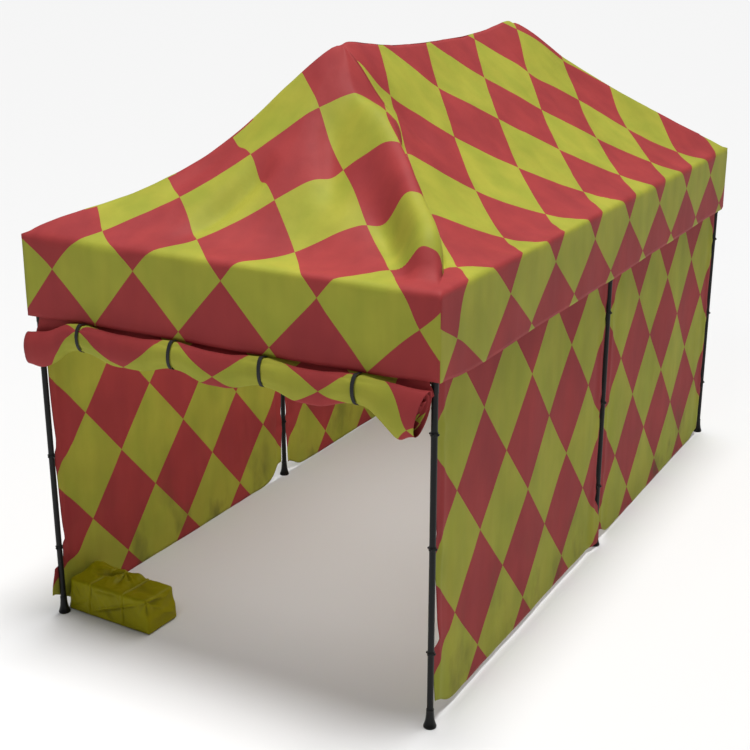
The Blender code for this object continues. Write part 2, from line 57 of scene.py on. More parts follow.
# Names and places read from the frame
LEG_NODES = ("front_right", "front_left", "middle_right", "middle_left", "back_right", "back_left")
STRAP_NODES = ("door_strap_1", "door_strap_2", "door_strap_3", "door_strap_4")
ROOF_NODES = ("roof_front", "roof_right", "roof_back", "roof_left")
VALANCE_NODES = ("valance_front", "valance_right", "valance_back", "valance_left")
RAIL_NODES = ("rail_front", "rail_middle", "rail_back", "rail_right_front", "rail_right_back",
              "rail_left_front", "rail_left_back")
INNER_NODES = ("cross_beam_front", "cross_beam_back", "king_post_front", "king_post_back")


def middle(node):
    """Centre of a node's box."""
    low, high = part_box(node)
    return (low + high) / 2


EDGE_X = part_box("roof_right")[1].x
FRONT_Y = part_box("roof_front")[0].y
BACK_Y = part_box("roof_back")[1].y
LEG_X = middle("leg_front_right").x
POLE_FRONT_Y = middle("leg_front_right").y
POLE_MIDDLE_Y = middle("leg_middle_right").y
POLE_BACK_Y = middle("leg_back_right").y
BAY = POLE_MIDDLE_Y - POLE_FRONT_Y
PEAK_FRONT_Y = middle("king_post_front").y
PEAK_BACK_Y = middle("king_post_back").y
INSET = PEAK_FRONT_Y - FRONT_Y
RAIL_Z = middle("rail_front").z
RAIL_RADIUS = RAIL_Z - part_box("rail_front")[0].z
EAVE_Z = 2.775
PEAK_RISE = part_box("roof_back")[1].z - EAVE_Z
HIP_LENGTH = math.hypot(EDGE_X, INSET)
HIP = Vector((EDGE_X, -INSET)) / HIP_LENGTH
BESIDE = Vector((INSET, EDGE_X)) / HIP_LENGTH

# How the poles are jointed: the tie collars and the sleeve below the valance
POLE_RADIUS = 0.020
TIE_HEIGHTS = (1.928, 1.209, 0.512)
SLEEVE = (2.175, 2.300)

# Columns of cloth on each side of the canopy, and its rows; columns and rows of a wall
CANOPY_COLUMNS = {"front": 120, "right": 160, "back": 70, "left": 110}
VALANCE_ROWS = 22
ROOF_ROWS = 66
WALL_COLUMNS = 120
WALL_ROWS = 100

# One repeat of the print on each kind of panel, in metres: its width, its height, and its
# height on a valance of the canopy or where the door is bunched up in its roll
END_REPEAT = (0.67, 0.78, 0.72)
SIDE_REPEAT = (0.735, 0.865, 0.62)
WALL_REPEAT = (0.74, 0.825)
DOOR_REPEAT = (0.70, 0.74, 0.42)

# Radius over which a king post's cap rounds the cloth
CAP_RADIUS = 0.055

# How far the slack fold's crest bows sideways from the front right hip
CREST_BOW = 0.125

# The canopy's corners reach this far, and stay put over the corner blocks
CORNER_REACH = 0.002

# Walls and door hang from just under the rails, and a wall is laid out this far from its poles
CLOTH_TOP = RAIL_Z - RAIL_RADIUS - 0.002
WALL_EDGE = 0.03

# A tie holds a wall's edge this far from its pole's axis
TIE_GAP = 0.028

# The carry bag: seams round it, and creases on its front and end faces as ends and relief
BAG_SEAMS = (-0.155, 0.145)
BAG_CREASES = (
    ((-0.340, 0.030), (-0.165, 0.125), -0.0085),
    ((-0.150, 0.050), (0.125, 0.160), 0.0100),
    ((-0.150, 0.032), (0.125, 0.142), -0.0095),
    ((0.020, 0.118), (0.300, 0.225), 0.0100),
    ((0.030, 0.102), (0.290, 0.205), -0.0095),
    ((-0.320, 0.225), (-0.255, 0.130), -0.0100),
    ((-0.340, 0.200), (-0.285, 0.110), 0.0080),
    ((-0.140, 0.212), (0.110, 0.226), -0.0080),
    ((0.160, 0.012), (0.330, 0.040), 0.0060),
)
BAG_END_CREASES = (
    ((-0.110, 0.215), (0.020, 0.135), 0.0080),
    ((-0.100, 0.235), (0.060, 0.190), -0.0070),
    ((0.000, 0.120), (0.120, 0.060), 0.0060),
)

# Lumps and a dent on the bag's top: middle, half widths and height
BAG_LUMPS = (
    (-0.29, 0.11, 0.10, 0.07, 0.022),
    (0.06, 0.14, 0.05, 0.05, 0.020),
    (0.17, 0.02, 0.13, 0.10, -0.014),
)


class TentCloth(bpy.types.PropertyGroup):
    """Sizes of the cloth that a user would change."""

    fold_fullness: bpy.props.FloatProperty(
        name="Fold fullness", description="How full the slack fold stands on the front right hip",
        default=1.0, min=0.0, max=1.3)
    slope_sag: bpy.props.FloatProperty(
        name="Slope sag", description="How far the slopes hang below a straight line",
        default=2.4, min=0.0, max=4.0)
    ridge_sag: bpy.props.FloatProperty(
        name="Ridge sag", description="How far the ridge hangs between the two peaks",
        default=0.055, min=0.0, max=0.2, unit="LENGTH")
    cloth_thickness: bpy.props.FloatProperty(
        name="Canopy thickness", description="Thickness of the canopy cloth, coating included",
        default=0.0025, min=0.0005, max=0.01, unit="LENGTH")
    wall_thickness: bpy.props.FloatProperty(
        name="Wall thickness", description="Thickness of the wall and door cloth",
        default=0.0016, min=0.0005, max=0.01, unit="LENGTH")
    roll_turns: bpy.props.IntProperty(
        name="Roll turns", description="Turns of cloth in the rolled door", default=6, min=2, max=12)
    edge_bow: bpy.props.FloatProperty(
        name="Wall edge bow", description="Gap that opens between two ties of a wall",
        default=0.030, min=0.0, max=0.1, unit="LENGTH")


def hex_colour(name, description, default):
    """A colour that a user would change."""
    return bpy.props.StringProperty(name=name, description=description, default=default)


class TentColours(bpy.types.PropertyGroup):
    """Colours of the tent as sRGB hex values."""

    yellow: hex_colour("Yellow cloth", "The pale diamonds", "#A6A43C")
    red: hex_colour("Red cloth", "The dark diamonds", "#A23C3C")
    pole: hex_colour("Poles", "Powder coat of the steel poles", "#0B0B0C")
    fitting: hex_colour("Fittings", "Moulded collars and feet", "#070708")
    webbing: hex_colour("Webbing", "Straps of the rolled door", "#101012")
    bag: hex_colour("Bag cloth", "Coated cloth of the carry bag", "#979000")
    floor: hex_colour("Floor", "The studio's floor", "#DADADA")


def mix(first, second, amount):
    """Straight interpolation between two values."""
    return first + (second - first) * amount


def ease(value):
    """Smooth step from 0 to 1."""
    value = max(0.0, min(1.0, value))
    return value * value * (3.0 - 2.0 * value)


def bell(value):
    """A bump that is 1 at zero."""
    return math.exp(-value * value)


def wave(x, y, z=0.0):
    """Smooth noise between about -1 and 1."""
    return noise.noise(Vector((x, y, z)))


def linear(hex_text):
    """An sRGB hex colour as linear RGBA."""
    values = []
    for start in (1, 3, 5):
        part = int(hex_text[start:start + 2], 16) / 255.0
        values.append(part / 12.92 if part <= 0.04045 else ((part + 0.055) / 1.055) ** 2.4)
    return (*values, 1.0)


def shade(hex_text, factor):
    """A colour made lighter or darker in linear light."""
    red, green, blue, alpha = linear(hex_text)
    return (min(1.0, red * factor), min(1.0, green * factor), min(1.0, blue * factor), alpha)


# Mesh helpers


def finish_mesh(name, bm, material, angle=75.0):
    """A bmesh as a named, smoothly shaded piece that rides on the frame."""
    bmesh.ops.recalc_face_normals(bm, faces=list(bm.faces))
    mesh = bpy.data.meshes.new(name)
    bm.to_mesh(mesh)
    bm.free()
    mesh.shade_smooth()
    mesh.set_sharp_from_angle(angle=math.radians(angle))
    mesh.materials.append(shared(material))
    piece = bpy.data.objects.new(name, mesh)
    bpy.context.scene.collection.objects.link(piece)
    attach(piece, "root")
    return piece


def thicken(piece, thickness, offset=-1.0):
    """Gives a sheet its thickness on its inner side."""
    solid = piece.modifiers.new("Thickness", "SOLIDIFY")
    solid.thickness = thickness
    solid.offset = offset
    solid.use_even_offset = False
    solid.use_quality_normals = True


def grid(columns, rows):
    """A new bmesh grid, and the column and row of each of its vertices."""
    bm = bmesh.new()
    bmesh.ops.create_grid(bm, x_segments=columns, y_segments=rows, size=0.5)
    bm.verts.ensure_lookup_table()
    places = [(round((v.co.x + 0.5) * columns), round((v.co.y + 0.5) * rows)) for v in bm.verts]
    return bm, places


def lay_sheet(bm, places, place, pattern=None):
    """Moves a grid's vertices into place, and gives its corners their repeats of the print."""
    if pattern:
        layer = bm.loops.layers.uv.new("pattern")
        for face in bm.faces:
            for loop in face.loops:
                loop[layer].uv = pattern(*places[loop.vert.index])
    for vert in bm.verts:
        vert.co = place(*places[vert.index])


def smooth(bm, verts, factor):
    """Draws vertices towards their neighbours."""
    bmesh.ops.smooth_vert(bm, verts=verts, factor=factor, use_axis_x=True, use_axis_y=True,
                          use_axis_z=True)


def weld(bm, distance=0.00002):
    """Merges doubles."""
    bmesh.ops.remove_doubles(bm, verts=list(bm.verts), dist=distance)


def linked(verts):
    """Every vertex that hangs together with the given ones."""
    found = set()
    stack = list(verts)
    while stack:
        vert = stack.pop()
        if vert not in found:
            found.add(vert)
            stack += [edge.other_vert(vert) for edge in vert.link_edges]
    return list(found)


def turned(bm, profile, centre, segments):
    """Spins a profile of radius and height about an upright axis, closed at its ends."""
    verts = [bm.verts.new((radius, 0.0, height)) for radius, height in profile]
    edges = [bm.edges.new(pair) for pair in zip(verts, verts[1:])]
    bmesh.ops.spin(
        bm, geom=verts + edges, cent=(0, 0, 0), axis=(0, 0, 1), dvec=(0, 0, 0),
        angle=2 * math.pi, steps=segments, use_merge=True, use_duplicate=False)
    bmesh.ops.translate(bm, verts=linked(verts), vec=centre)


def block(bm, centre, size):
    """A small bevelled block."""
    verts = bmesh.ops.create_cube(bm, size=1.0)["verts"]
    bmesh.ops.scale(bm, verts=verts, vec=size)
    edges = list({edge for vert in verts for edge in vert.link_edges})
    cut = bmesh.ops.bevel(
        bm, geom=edges, offset=0.002, segments=2, profile=0.5, affect="EDGES", material=-1)
    corners = [vert for face in cut["faces"] for vert in face.verts]
    bmesh.ops.translate(bm, verts=linked(corners), vec=centre)


# Materials


# A Mix node's settings for colours, which go in at 6 and 7 and come out at 2
BLEND = {"data_type": "RGBA", "output": 2}


def add_node(tree, kind, inputs=None, output=0, **settings):
    """Adds a node with its settings, input values and links, and gives one of its outputs."""
    node = tree.nodes.new("ShaderNode" + kind)
    for key, value in settings.items():
        setattr(node, key, value)
    for socket, source in (inputs or {}).items():
        if isinstance(source, bpy.types.NodeSocket):
            tree.links.new(source, node.inputs[socket])
        else:
            node.inputs[socket].default_value = source
    return node.outputs[output]


def new_material(name):
    """A material with only its shader and output, and the place on the object in metres."""
    mat = bpy.data.materials.new(name)
    mat.use_nodes = True
    place = add_node(mat.node_tree, "TexCoord", output="Object")
    return mat, mat.node_tree, mat.node_tree.nodes["Principled BSDF"], place


def mottling(tree, place, scale, detail=3.0, stretch=None, low=0.35, high=0.65):
    """Soft patches between 0 and 1, with their contrast raised between low and high."""
    if stretch is not None:
        place = add_node(tree, "Mapping", {"Vector": place, "Scale": stretch})
    cloud = add_node(tree, "TexNoise", {"Vector": place, "Scale": scale, "Detail": detail})
    return add_node(tree, "MapRange", {"Value": cloud, "From Min": low, "From Max": high})


def add_relief(tree, shader, height, strength, distance):
    """Feeds a height into a material's surface as fine relief."""
    bump = add_node(tree, "Bump", {"Height": height, "Strength": strength, "Distance": distance})
    tree.links.new(bump, shader.inputs["Normal"])


def harlequin(name, colours, grime, roughness):
    """Woven polyester-cotton printed in harlequin diamonds, with a thin acrylic coat.

    The UV map holds pattern repeats, so diamonds keep their size on every sheet. The coat
    gives the broad soft gloss on rounded edges, and the print is a little uneven.
    """
    mat, tree, shader, place = new_material(name)
    across = add_node(tree, "SeparateXYZ", {"Vector": add_node(tree, "UVMap", uv_map="pattern")})
    stripes = []
    for operation in ("ADD", "SUBTRACT"):
        slant = add_node(tree, "Math", {0: across, 1: across.node.outputs[1]}, operation=operation)
        stripes.append(add_node(tree, "Math", {0: slant}, operation="FLOOR"))
    cells = add_node(tree, "Math", dict(enumerate(stripes)), operation="ADD")
    parity = add_node(tree, "Math", {0: cells, 1: 2.0}, operation="FLOORED_MODULO")

    # Print mottling 0.3 m wide, dye patches that lean to green, and faint upright streaks
    patches = mottling(tree, place, 2.6, 2.0)
    greener = mottling(tree, place, 4.5, 3.0, (1.0, 1.0, 0.5))
    streaks = mottling(tree, place, 9.0, 4.0, (1.0, 1.0, 0.08), 0.3, 0.7)
    yellow, red = (
        add_node(tree, "Mix", {0: greener, 6: linear(dye), 7: linear(aged)}, **BLEND)
        for dye, aged in ((colours.yellow, "#9A9E38"), (colours.red, "#99383A")))
    colour = add_node(tree, "Mix", {0: parity, 6: yellow, 7: red}, **BLEND)
    dull = add_node(tree, "Math", {0: patches, 1: 0.10, 2: 0.93}, operation="MULTIPLY_ADD")
    faint = add_node(tree, "Math", {0: streaks, 1: 0.07, 2: 0.955}, operation="MULTIPLY_ADD")
    tone = add_node(tree, "Math", {0: dull, 1: faint}, operation="MULTIPLY")
    level = add_node(tree, "CombineColor", {"Red": tone, "Green": tone, "Blue": tone})
    colour = add_node(tree, "Mix", {0: 1.0, 6: colour, 7: level}, blend_type="MULTIPLY", **BLEND)
    if grime > 0.0:
        height = add_node(tree, "SeparateXYZ", {"Vector": place}, 2)
        low = add_node(tree, "MapRange", {"Value": height, "From Min": 0.75, "From Max": 0.05})
        smudge = mottling(tree, place, 3.4, 5.0, (1.0, 1.0, 0.55), 0.52, 0.74)
        amount = add_node(tree, "Math", {0: low, 1: smudge}, operation="MULTIPLY")
        amount = add_node(tree, "Math", {0: amount, 1: grime}, operation="MULTIPLY")
        colour = add_node(tree, "Mix", {0: amount, 6: colour, 7: linear("#4A4628")}, **BLEND)
    tree.links.new(colour, shader.inputs["Base Color"])

    # Threads lie 0.5 mm apart in the cloth, too fine for the picture, so they are drawn at 4.5 mm
    warp, weft = (
        add_node(tree, "TexWave", {"Vector": place, "Scale": 70.0, "Distortion": 0.4}, "Fac",
                 bands_direction=direction) for direction in ("DIAGONAL", "Z"))
    threads = add_node(tree, "Math", {0: warp, 1: weft}, operation="MULTIPLY")
    creases = mottling(tree, place, 13.0, 4.0, (1.0, 1.0, 0.6), 0.2, 0.8)
    relief = add_node(tree, "Math", {0: threads, 1: 0.12, 2: creases}, operation="MULTIPLY_ADD")
    add_relief(tree, shader, relief, 0.35, 0.004)
    shader.inputs["Roughness"].default_value = roughness
    shader.inputs["Specular IOR Level"].default_value = 0.14
    return mat


def coated_steel(name, colours):
    """Powder-coated steel tube: dark satin with a fine orange-peel skin and rubbed patches."""
    mat, tree, shader, place = new_material(name)
    rubbed = mottling(tree, place, 7.0, 4.0, (1.0, 1.0, 0.3), 0.50, 0.75)
    colour = add_node(tree, "Mix", {0: rubbed, 6: linear(colours.pole), 7: shade(colours.pole, 1.9)},
                      **BLEND)
    tree.links.new(colour, shader.inputs["Base Color"])
    skin = add_node(tree, "TexNoise", {"Vector": place, "Scale": 420.0, "Detail": 2.0})
    add_relief(tree, shader, skin, 0.25, 0.0004)
    rough = add_node(tree, "MapRange", {"Value": rubbed, "To Min": 0.42, "To Max": 0.55})
    tree.links.new(rough, shader.inputs["Roughness"])
    shader.inputs["Specular IOR Level"].default_value = 0.24
    return mat


def moulded(name, colours, roughness, grit, dust):
    """Moulded nylon or rubber: near black, fine spark-eroded grain, dust in patches."""
    mat, tree, shader, place = new_material(name)
    dusty = mottling(tree, place, 18.0, 4.0, None, 0.5, 0.8)
    amount = add_node(tree, "Math", {0: dusty, 1: dust}, operation="MULTIPLY")
    colour = add_node(tree, "Mix", {0: amount, 6: linear(colours.fitting), 7: linear("#4B4842")},
                      **BLEND)
    tree.links.new(colour, shader.inputs["Base Color"])
    grain = add_node(tree, "TexNoise", {"Vector": place, "Scale": grit, "Detail": 2.0})
    add_relief(tree, shader, grain, 0.2, 0.0004)
    shader.inputs["Roughness"].default_value = roughness
    shader.inputs["Specular IOR Level"].default_value = 0.25
    return mat


def woven_webbing(name, colours):
    """Woven polypropylene webbing: black ribs 3 mm apart across the strap, with a dull shine."""
    mat, tree, shader, place = new_material(name)
    ribs = add_node(tree, "TexWave", {"Vector": place, "Scale": 105.0, "Distortion": 0.6}, "Fac",
                    bands_direction="Z")
    colour = add_node(tree, "Mix", {0: ribs, 6: shade(colours.webbing, 0.7),
                                    7: shade(colours.webbing, 1.7)}, **BLEND)
    tree.links.new(colour, shader.inputs["Base Color"])
    add_relief(tree, shader, ribs, 0.5, 0.0006)
    shader.inputs["Roughness"].default_value = 0.7
    return mat


def coated_oxford(name, colours):
    """Coated oxford cloth: olive and slightly glossy, with painted shade that darkens its top."""
    mat, tree, shader, place = new_material(name)
    # Painted shade: faces that look up are given a darker colour
    facing = add_node(tree, "NewGeometry", output="Normal")
    upward = add_node(tree, "SeparateXYZ", {"Vector": facing}, 2)
    top = add_node(tree, "MapRange", {"Value": upward, "From Min": 0.25, "From Max": 0.85,
                                      "To Max": 0.9})
    # Painted shade darkens the creases and the seams' edges
    crease = add_node(tree, "Attribute", output="Fac", attribute_name="crease")
    crease_shade = add_node(tree, "Math", {0: crease, 1: 0.5}, operation="MULTIPLY")
    colour = linear(colours.bag)
    # Random patches, then the painted shade on top and in the creases and beside the seams
    for amount, tone in ((mottling(tree, place, 9.0, 4.0), 0.86), (top, 0.66), (crease_shade, 0.30)):
        colour = add_node(tree, "Mix", {0: amount, 6: colour, 7: shade(colours.bag, tone)}, **BLEND)
    tree.links.new(colour, shader.inputs["Base Color"])
    # The oxford weave has a 1 mm basket, drawn here at 3.6 mm so that it shows close up
    weave = add_node(tree, "TexWave", {"Vector": place, "Scale": 100.0, "Distortion": 0.5}, "Fac",
                     bands_direction="DIAGONAL")
    crinkle = mottling(tree, place, 26.0, 5.0, None, 0.25, 0.75)
    relief = add_node(tree, "Math", {0: weave, 1: 0.08, 2: crinkle}, operation="MULTIPLY_ADD")
    add_relief(tree, shader, relief, 0.5, 0.003)
    shader.inputs["Roughness"].default_value = 0.5
    shader.inputs["Specular IOR Level"].default_value = 0.14
    return mat


# What makes each material, and with which grime and roughness, or roughness, grit and dust
MATERIALS = {
    "printed_polycotton_canopy": (harlequin, 0.0, 0.62),
    "printed_polycotton_wall": (harlequin, 0.75, 0.7),
    "powder_coated_steel": (coated_steel,),
    "moulded_nylon": (moulded, 0.42, 300.0, 0.15),
    "moulded_rubber": (moulded, 0.30, 220.0, 0.25),
    "polypropylene_webbing": (woven_webbing,),
    "coated_oxford_cloth": (coated_oxford,),
}


def shared(name):
    """A material that several pieces share, made on first use."""
    maker, *amounts = MATERIALS[name]
    found = bpy.data.materials.get(name)
    return found if found else maker(name, bpy.context.scene.tent_colours, *amounts)


# The canopy


def crest_beside(along):
    """How far the fold's crest lies beside the front right hip, at a distance down it."""
    share = along / HIP_LENGTH
    return CREST_BOW * math.sin(math.pi * share) ** 0.8 if 0.0 < share < 1.0 else 0.0


def fold_strength(along):
    """How far the slack fold stands up, at a distance down the front right hip."""
    return ease(along / 0.42) * (1.0 - ease((along - 1.76) / 0.26))


def shoulder(along):
    """Width of the fold's rounded right flank, from its crest to its foot, widest near the peak."""
    broad = 0.170 * ease(along / 0.40) * (1.0 - ease((along - 0.36) / 0.58))
    return 0.002 + broad + fold_strength(along) * mix(0.040, 0.066, ease((along - 0.85) / 0.6))


def fold_foot_plan(inset):
    """Plan position where the foot of the fold's right flank crosses the ring at an inset share."""
    reach = EDGE_X * (1.0 - inset)
    along = reach / HIP.x
    for _ in range(40):
        along = (reach - (crest_beside(along) + shoulder(along)) * BESIDE.x) / HIP.x
    point = HIP * along + BESIDE * (crest_beside(along) + shoulder(along))
    return Vector((reach, PEAK_FRONT_Y + point.y))


def canopy_plan(side, share, inset):
    """Plan position on one side of the ring at an inset share, before any rounding."""
    reach = EDGE_X * (1.0 - inset)
    front = FRONT_Y + INSET * inset
    back = BACK_Y - INSET * inset
    crest = fold_foot_plan(inset).y
    if side == "front":
        across = 1.0 - (1.0 - share) ** 1.3
        return Vector((mix(-reach, reach, across), mix(front, crest, ease((across - 0.72) / 0.28))))
    if side == "right":
        return Vector((reach, mix(crest, back, share ** 1.3)))
    if side == "back":
        return Vector((mix(reach, -reach, share), back))
    return Vector((-reach, mix(front, back, (1.0 - share) ** 1.2)))


def insets(x, y):
    """How far a plan point lies in from the nearer side and from the nearer end."""
    across = 1.0 - abs(x) / EDGE_X
    along = min(y - FRONT_Y, BACK_Y - y) / INSET
    return across, along


def end_sag(lower, amount):
    """Sag of the front or back slope: a flat shelf at the eave, then a steep climb."""
    return amount * lower ** 1.25 * (1.0 - lower) ** 2.9


def side_sag(lower, amount):
    """Sag of a long slope, shallow and even from eave to ridge."""
    return amount * lower ** 0.75 * (1.0 - lower) ** 1.1


def hip_sag(right, y, lower):
    """Sag of the nearest hip: slack hangs at the front, the back hips stand nearly straight."""
    hang = lower ** 2.0 * (1.0 - lower) ** 2.1
    if y < 0.0:
        return mix(3.05 * hang, 1.215 * lower * (1.0 - lower) ** 1.6, right)
    return hang * mix(1.5, 0.5, right)


def soft_min(first, second, width):
    """The smaller of two shares, rounded where they are nearly the same."""
    near = max(0.0, width - abs(first - second)) / max(width, 0.0001)
    return min(first, second) - near * near * width / 4.0


def slope_sag(x, y, across, along, lower, cloth):
    """Sag of the slope that a plan point lies on, away from its hips."""
    if along < across:
        slack = mix(0.55, 1.22, ease((x + 1.0) / 1.7)) if y < 0.0 else 0.85
        return end_sag(lower, cloth.slope_sag * slack)
    if x < 0.0:
        return side_sag(lower, 0.45)
    return side_sag(lower, 0.36 + 0.38 * bell((y + 1.3) / 0.95) + 0.16 * bell((y - 2.1) / 0.5))


def roof_height(x, y, cloth):
    """Height of the canopy above a plan point, folds left out."""
    across, along = insets(x, y)
    right = ease((x + 0.3) / 0.6)
    slack = right if y < 0.0 else 0.0
    nearer = min(across, along)
    blunt = mix(0.06, 0.34, slack) * ease((1.0 - nearer) / 0.35) * ease(nearer / 0.3)
    lower = max(0.0, min(1.0, soft_min(across, along, blunt)))
    off_hip = 1.0 - bell((across - along) / mix(0.26, 0.40, slack))
    sag = mix(hip_sag(right, y, lower), slope_sag(x, y, across, along, lower, cloth), off_hip)
    rise = PEAK_RISE * lower - sag
    # The cloth rests on the rounded cap of a king post
    reach = math.hypot(x, y - (PEAK_FRONT_Y if y < 0.05 else PEAK_BACK_Y))
    rise += 0.75 * (reach + CAP_RADIUS - math.hypot(reach, CAP_RADIUS)) * bell(reach / 0.42)
    if PEAK_FRONT_Y < y < PEAK_BACK_Y:
        centre = (PEAK_FRONT_Y + PEAK_BACK_Y) / 2
        half = (PEAK_BACK_Y - PEAK_FRONT_Y) / 2
        rise -= cloth.ridge_sag * (1.0 - ((y - centre) / half) ** 2) * lower
    return EAVE_Z + rise


def slope_lengths(sag, amount, steps=200):
    """Running length of cloth up a slope, at even steps of the inset share."""
    lengths = [0.0]
    for step in range(steps):
        low = step / steps
        high = (step + 1) / steps
        lift = PEAK_RISE / steps - sag(high, amount) + sag(low, amount)
        lengths.append(lengths[-1] + math.hypot(INSET / steps, lift))
    return lengths


def hem_height(side, x, y):
    """Height of the valance's hem, which dips and rises a little."""
    uneven = 0.006 * wave(x * 1.7 + 3.0, y * 1.7, 5.0)
    if side == "front":
        return 2.236 + 0.021 * ease((x - 1.05) / 0.45) - 0.012 * ease((-0.9 - x) / 0.5) + uneven
    if side == "right":
        return 2.214 + 0.040 * bell((y - FRONT_Y) / 0.22) + uneven
    return 2.228 + uneven


VALLEYS = (
    # Start, bend and end in plan, depth and half width of each soft valley
    ((0.06, -1.62), (0.30, -1.99), (0.54, -2.38), 0.060, 0.100),
    ((-0.09, -2.03), (-0.19, -2.24), (-0.46, -2.80), 0.078, 0.080),
    ((-0.20, -1.68), (-0.55, -2.04), (-0.80, -2.50), 0.040, 0.100),
    ((0.16, -1.40), (0.34, -1.22), (0.70, -1.12), 0.055, 0.130),
    ((0.20, -0.90), (0.27, -0.30), (0.30, 0.50), 0.026, 0.150),
    ((0.16, 1.58), (0.55, 1.78), (1.15, 2.25), 0.036, 0.160),
    ((0.10, 1.20), (0.40, 1.08), (0.85, 0.98), 0.014, 0.110),
    ((-0.20, -1.10), (-0.55, -1.00), (-1.05, -0.80), 0.024, 0.150),
    ((-0.14, 1.66), (-0.50, 1.98), (-1.00, 2.50), 0.042, 0.130),
    ((0.12, 1.80), (0.30, 2.15), (0.42, 2.60), 0.032, 0.130),
    ((1.12, -2.70), (1.28, -2.72), (1.40, -2.73), 0.030, 0.045),
)


def valley_depth(x, y):
    """How far the soft valleys lower a plan point."""
    here = Vector((x, y))
    depth = 0.0
    for start, bend, end, deep, width in VALLEYS:
        total = 0.0
        for low, high, first in ((start, bend, True), (bend, end, False)):
            low = Vector(low)
            run = Vector(high) - low
            share = max(0.0, min(1.0, (here - low).dot(run) / run.length_squared))
            gap = (here - low - run * share).length
            if gap < 2.6 * width:
                taper = ease(share / 0.7) if first else ease((1.0 - share) / 0.8)
                total = max(total, taper * bell(gap / width))
        depth += deep * total
    return depth


def crest_height(along):
    """Height of the fold's crest: just under the straight hip, then proud of it low down."""
    straight = EAVE_Z + PEAK_RISE * (1.0 - along / HIP_LENGTH)
    low = mix(-0.130, -0.036, ease((along - 0.28) / 0.36))
    return straight + low + 0.060 * ease((along - 1.35) / 0.40)


def crest_place(x, y):
    """How far down the front right hip a plan point is, and how far beside the fold's crest."""
    here = Vector((x, y - PEAK_FRONT_Y))
    along = here.dot(HIP)
    return along, here.dot(BESIDE) - crest_beside(along)


def fold_shift(x, y, cloth):
    """Lift and sideways lean of the slack fold on the front right hip."""
    along, gap = crest_place(x, y)
    if along <= 0.0 or along >= HIP_LENGTH or abs(gap) > 0.7:
        return Vector((0.0, 0.0, 0.0))
    foot = HIP * along + BESIDE * crest_beside(along)
    stand = crest_height(along) - roof_height(foot.x, foot.y + PEAK_FRONT_Y, cloth)
    strength = fold_strength(along)
    low = ease((along - 0.9) / 0.5)
    flank = shoulder(along)
    if gap < 0.0:
        width = mix(0.12, 0.19, ease(along / 0.9)) - 0.062 * low
        profile = math.exp(-(-gap / width) ** mix(2.0, 3.0, low))
    else:
        profile = math.sqrt(max(0.0, 1.0 - (gap / flank) ** 2))
    lift = cloth.fold_fullness * stand * strength * profile
    lift -= strength * 0.026 * low * bell((gap + 0.19) / 0.07) * (1.0 - ease((along - 1.40) / 0.30))
    if gap > flank:
        groove = 0.044 * ease((along - 0.4) / 0.5) * (1.0 - ease((along - 1.50) / 0.35))
        lift -= strength * groove * bell((gap - flank - 0.012) / 0.030)
    lean = 0.012 * strength * bell((gap - 0.5 * flank) / 0.05)
    return Vector((BESIDE.x * lean, BESIDE.y * lean, lift))


def ripple(x, y, z):
    """Fine unevenness of the cloth, along its normal."""
    if z < EAVE_Z - 0.03:
        free = ease((EAVE_Z - z) / 0.5)
        return free * (0.010 * wave(x * 2.3, y * 2.3, z * 0.6) + 0.004 * wave(x * 6.1, y * 6.1, z))
    peak = Vector((x, y - (PEAK_FRONT_Y if y < 0.05 else PEAK_BACK_Y)))
    turn = math.atan2(peak.y, peak.x)
    far = ease((peak.length - 0.1) / 0.5)
    spokes = 0.007 * far * wave(math.cos(turn) * 3.4, math.sin(turn) * 3.4, peak.length * 0.9)
    return spokes + 0.006 * wave(x * 3.1, y * 3.1, 7.0) + 0.0022 * wave(x * 9.0, y * 9.0, 2.0)


def pattern_place(side, x, y, climb):
    """Pattern repeats across and up the cloth on one side of the canopy.

    The lowest whole row of diamonds droops towards the corners, and the valance is cut from
    a piece whose diamonds are shorter than those of the slopes.
    """
    if side in ("front", "back"):
        rise = climb - 2.658 + 0.091 * ((x - 0.05) / 1.33) ** 2
        pulled = 0.10 * ease((0.1 - x) / 0.9) - 0.045 * bell((x - 0.4) / 0.35)
        rise += pulled * ease(rise / 0.35)
        if side == "front":
            along, gap = crest_place(x, y)
            slipped = 0.185 * ease((gap + 0.33) / 0.33) * ease((along - 0.20) / 0.50)
            slipped += 0.060 * ease((gap + 0.10) / 0.16) * ease((along - 0.45) / 0.40)
            rise += slipped * ease((y - FRONT_Y) / 0.22)
            rise += 0.035 * bell((EDGE_X - x) / 0.16) * bell((climb - 2.6) / 0.35)
            near = bell((x - 1.07) / 0.28) * ease((climb - 2.55) / 0.15)
            rise -= 0.048 * near
            x -= 0.026 * near
        width, slope, valance = END_REPEAT
        return (x - 0.057) / width, rise / (slope if rise > 0.0 else valance)
    width, slope, valance = SIDE_REPEAT
    rise = climb - 2.60 + 0.125 * bell((y - FRONT_Y + 0.05) / 1.1) + 0.06 * bell((y - FRONT_Y) / 0.22)
    slope -= 0.065 * ease((y + 0.4) / 1.8)
    pulled = bell((y - FRONT_Y) / 0.60) * ease((climb - 2.40) / 0.35)
    rise += 0.020 * pulled
    return (y + 2.67 + 0.180 * pulled) / width, rise / (slope if rise > 0.0 else valance)


def at_corner(plan):
    """Whether a plan point is one of the canopy's corners, which the corner blocks fill."""
    return (EDGE_X - abs(plan.x) < CORNER_REACH
            and min(plan.y - FRONT_Y, BACK_Y - plan.y) < CORNER_REACH)


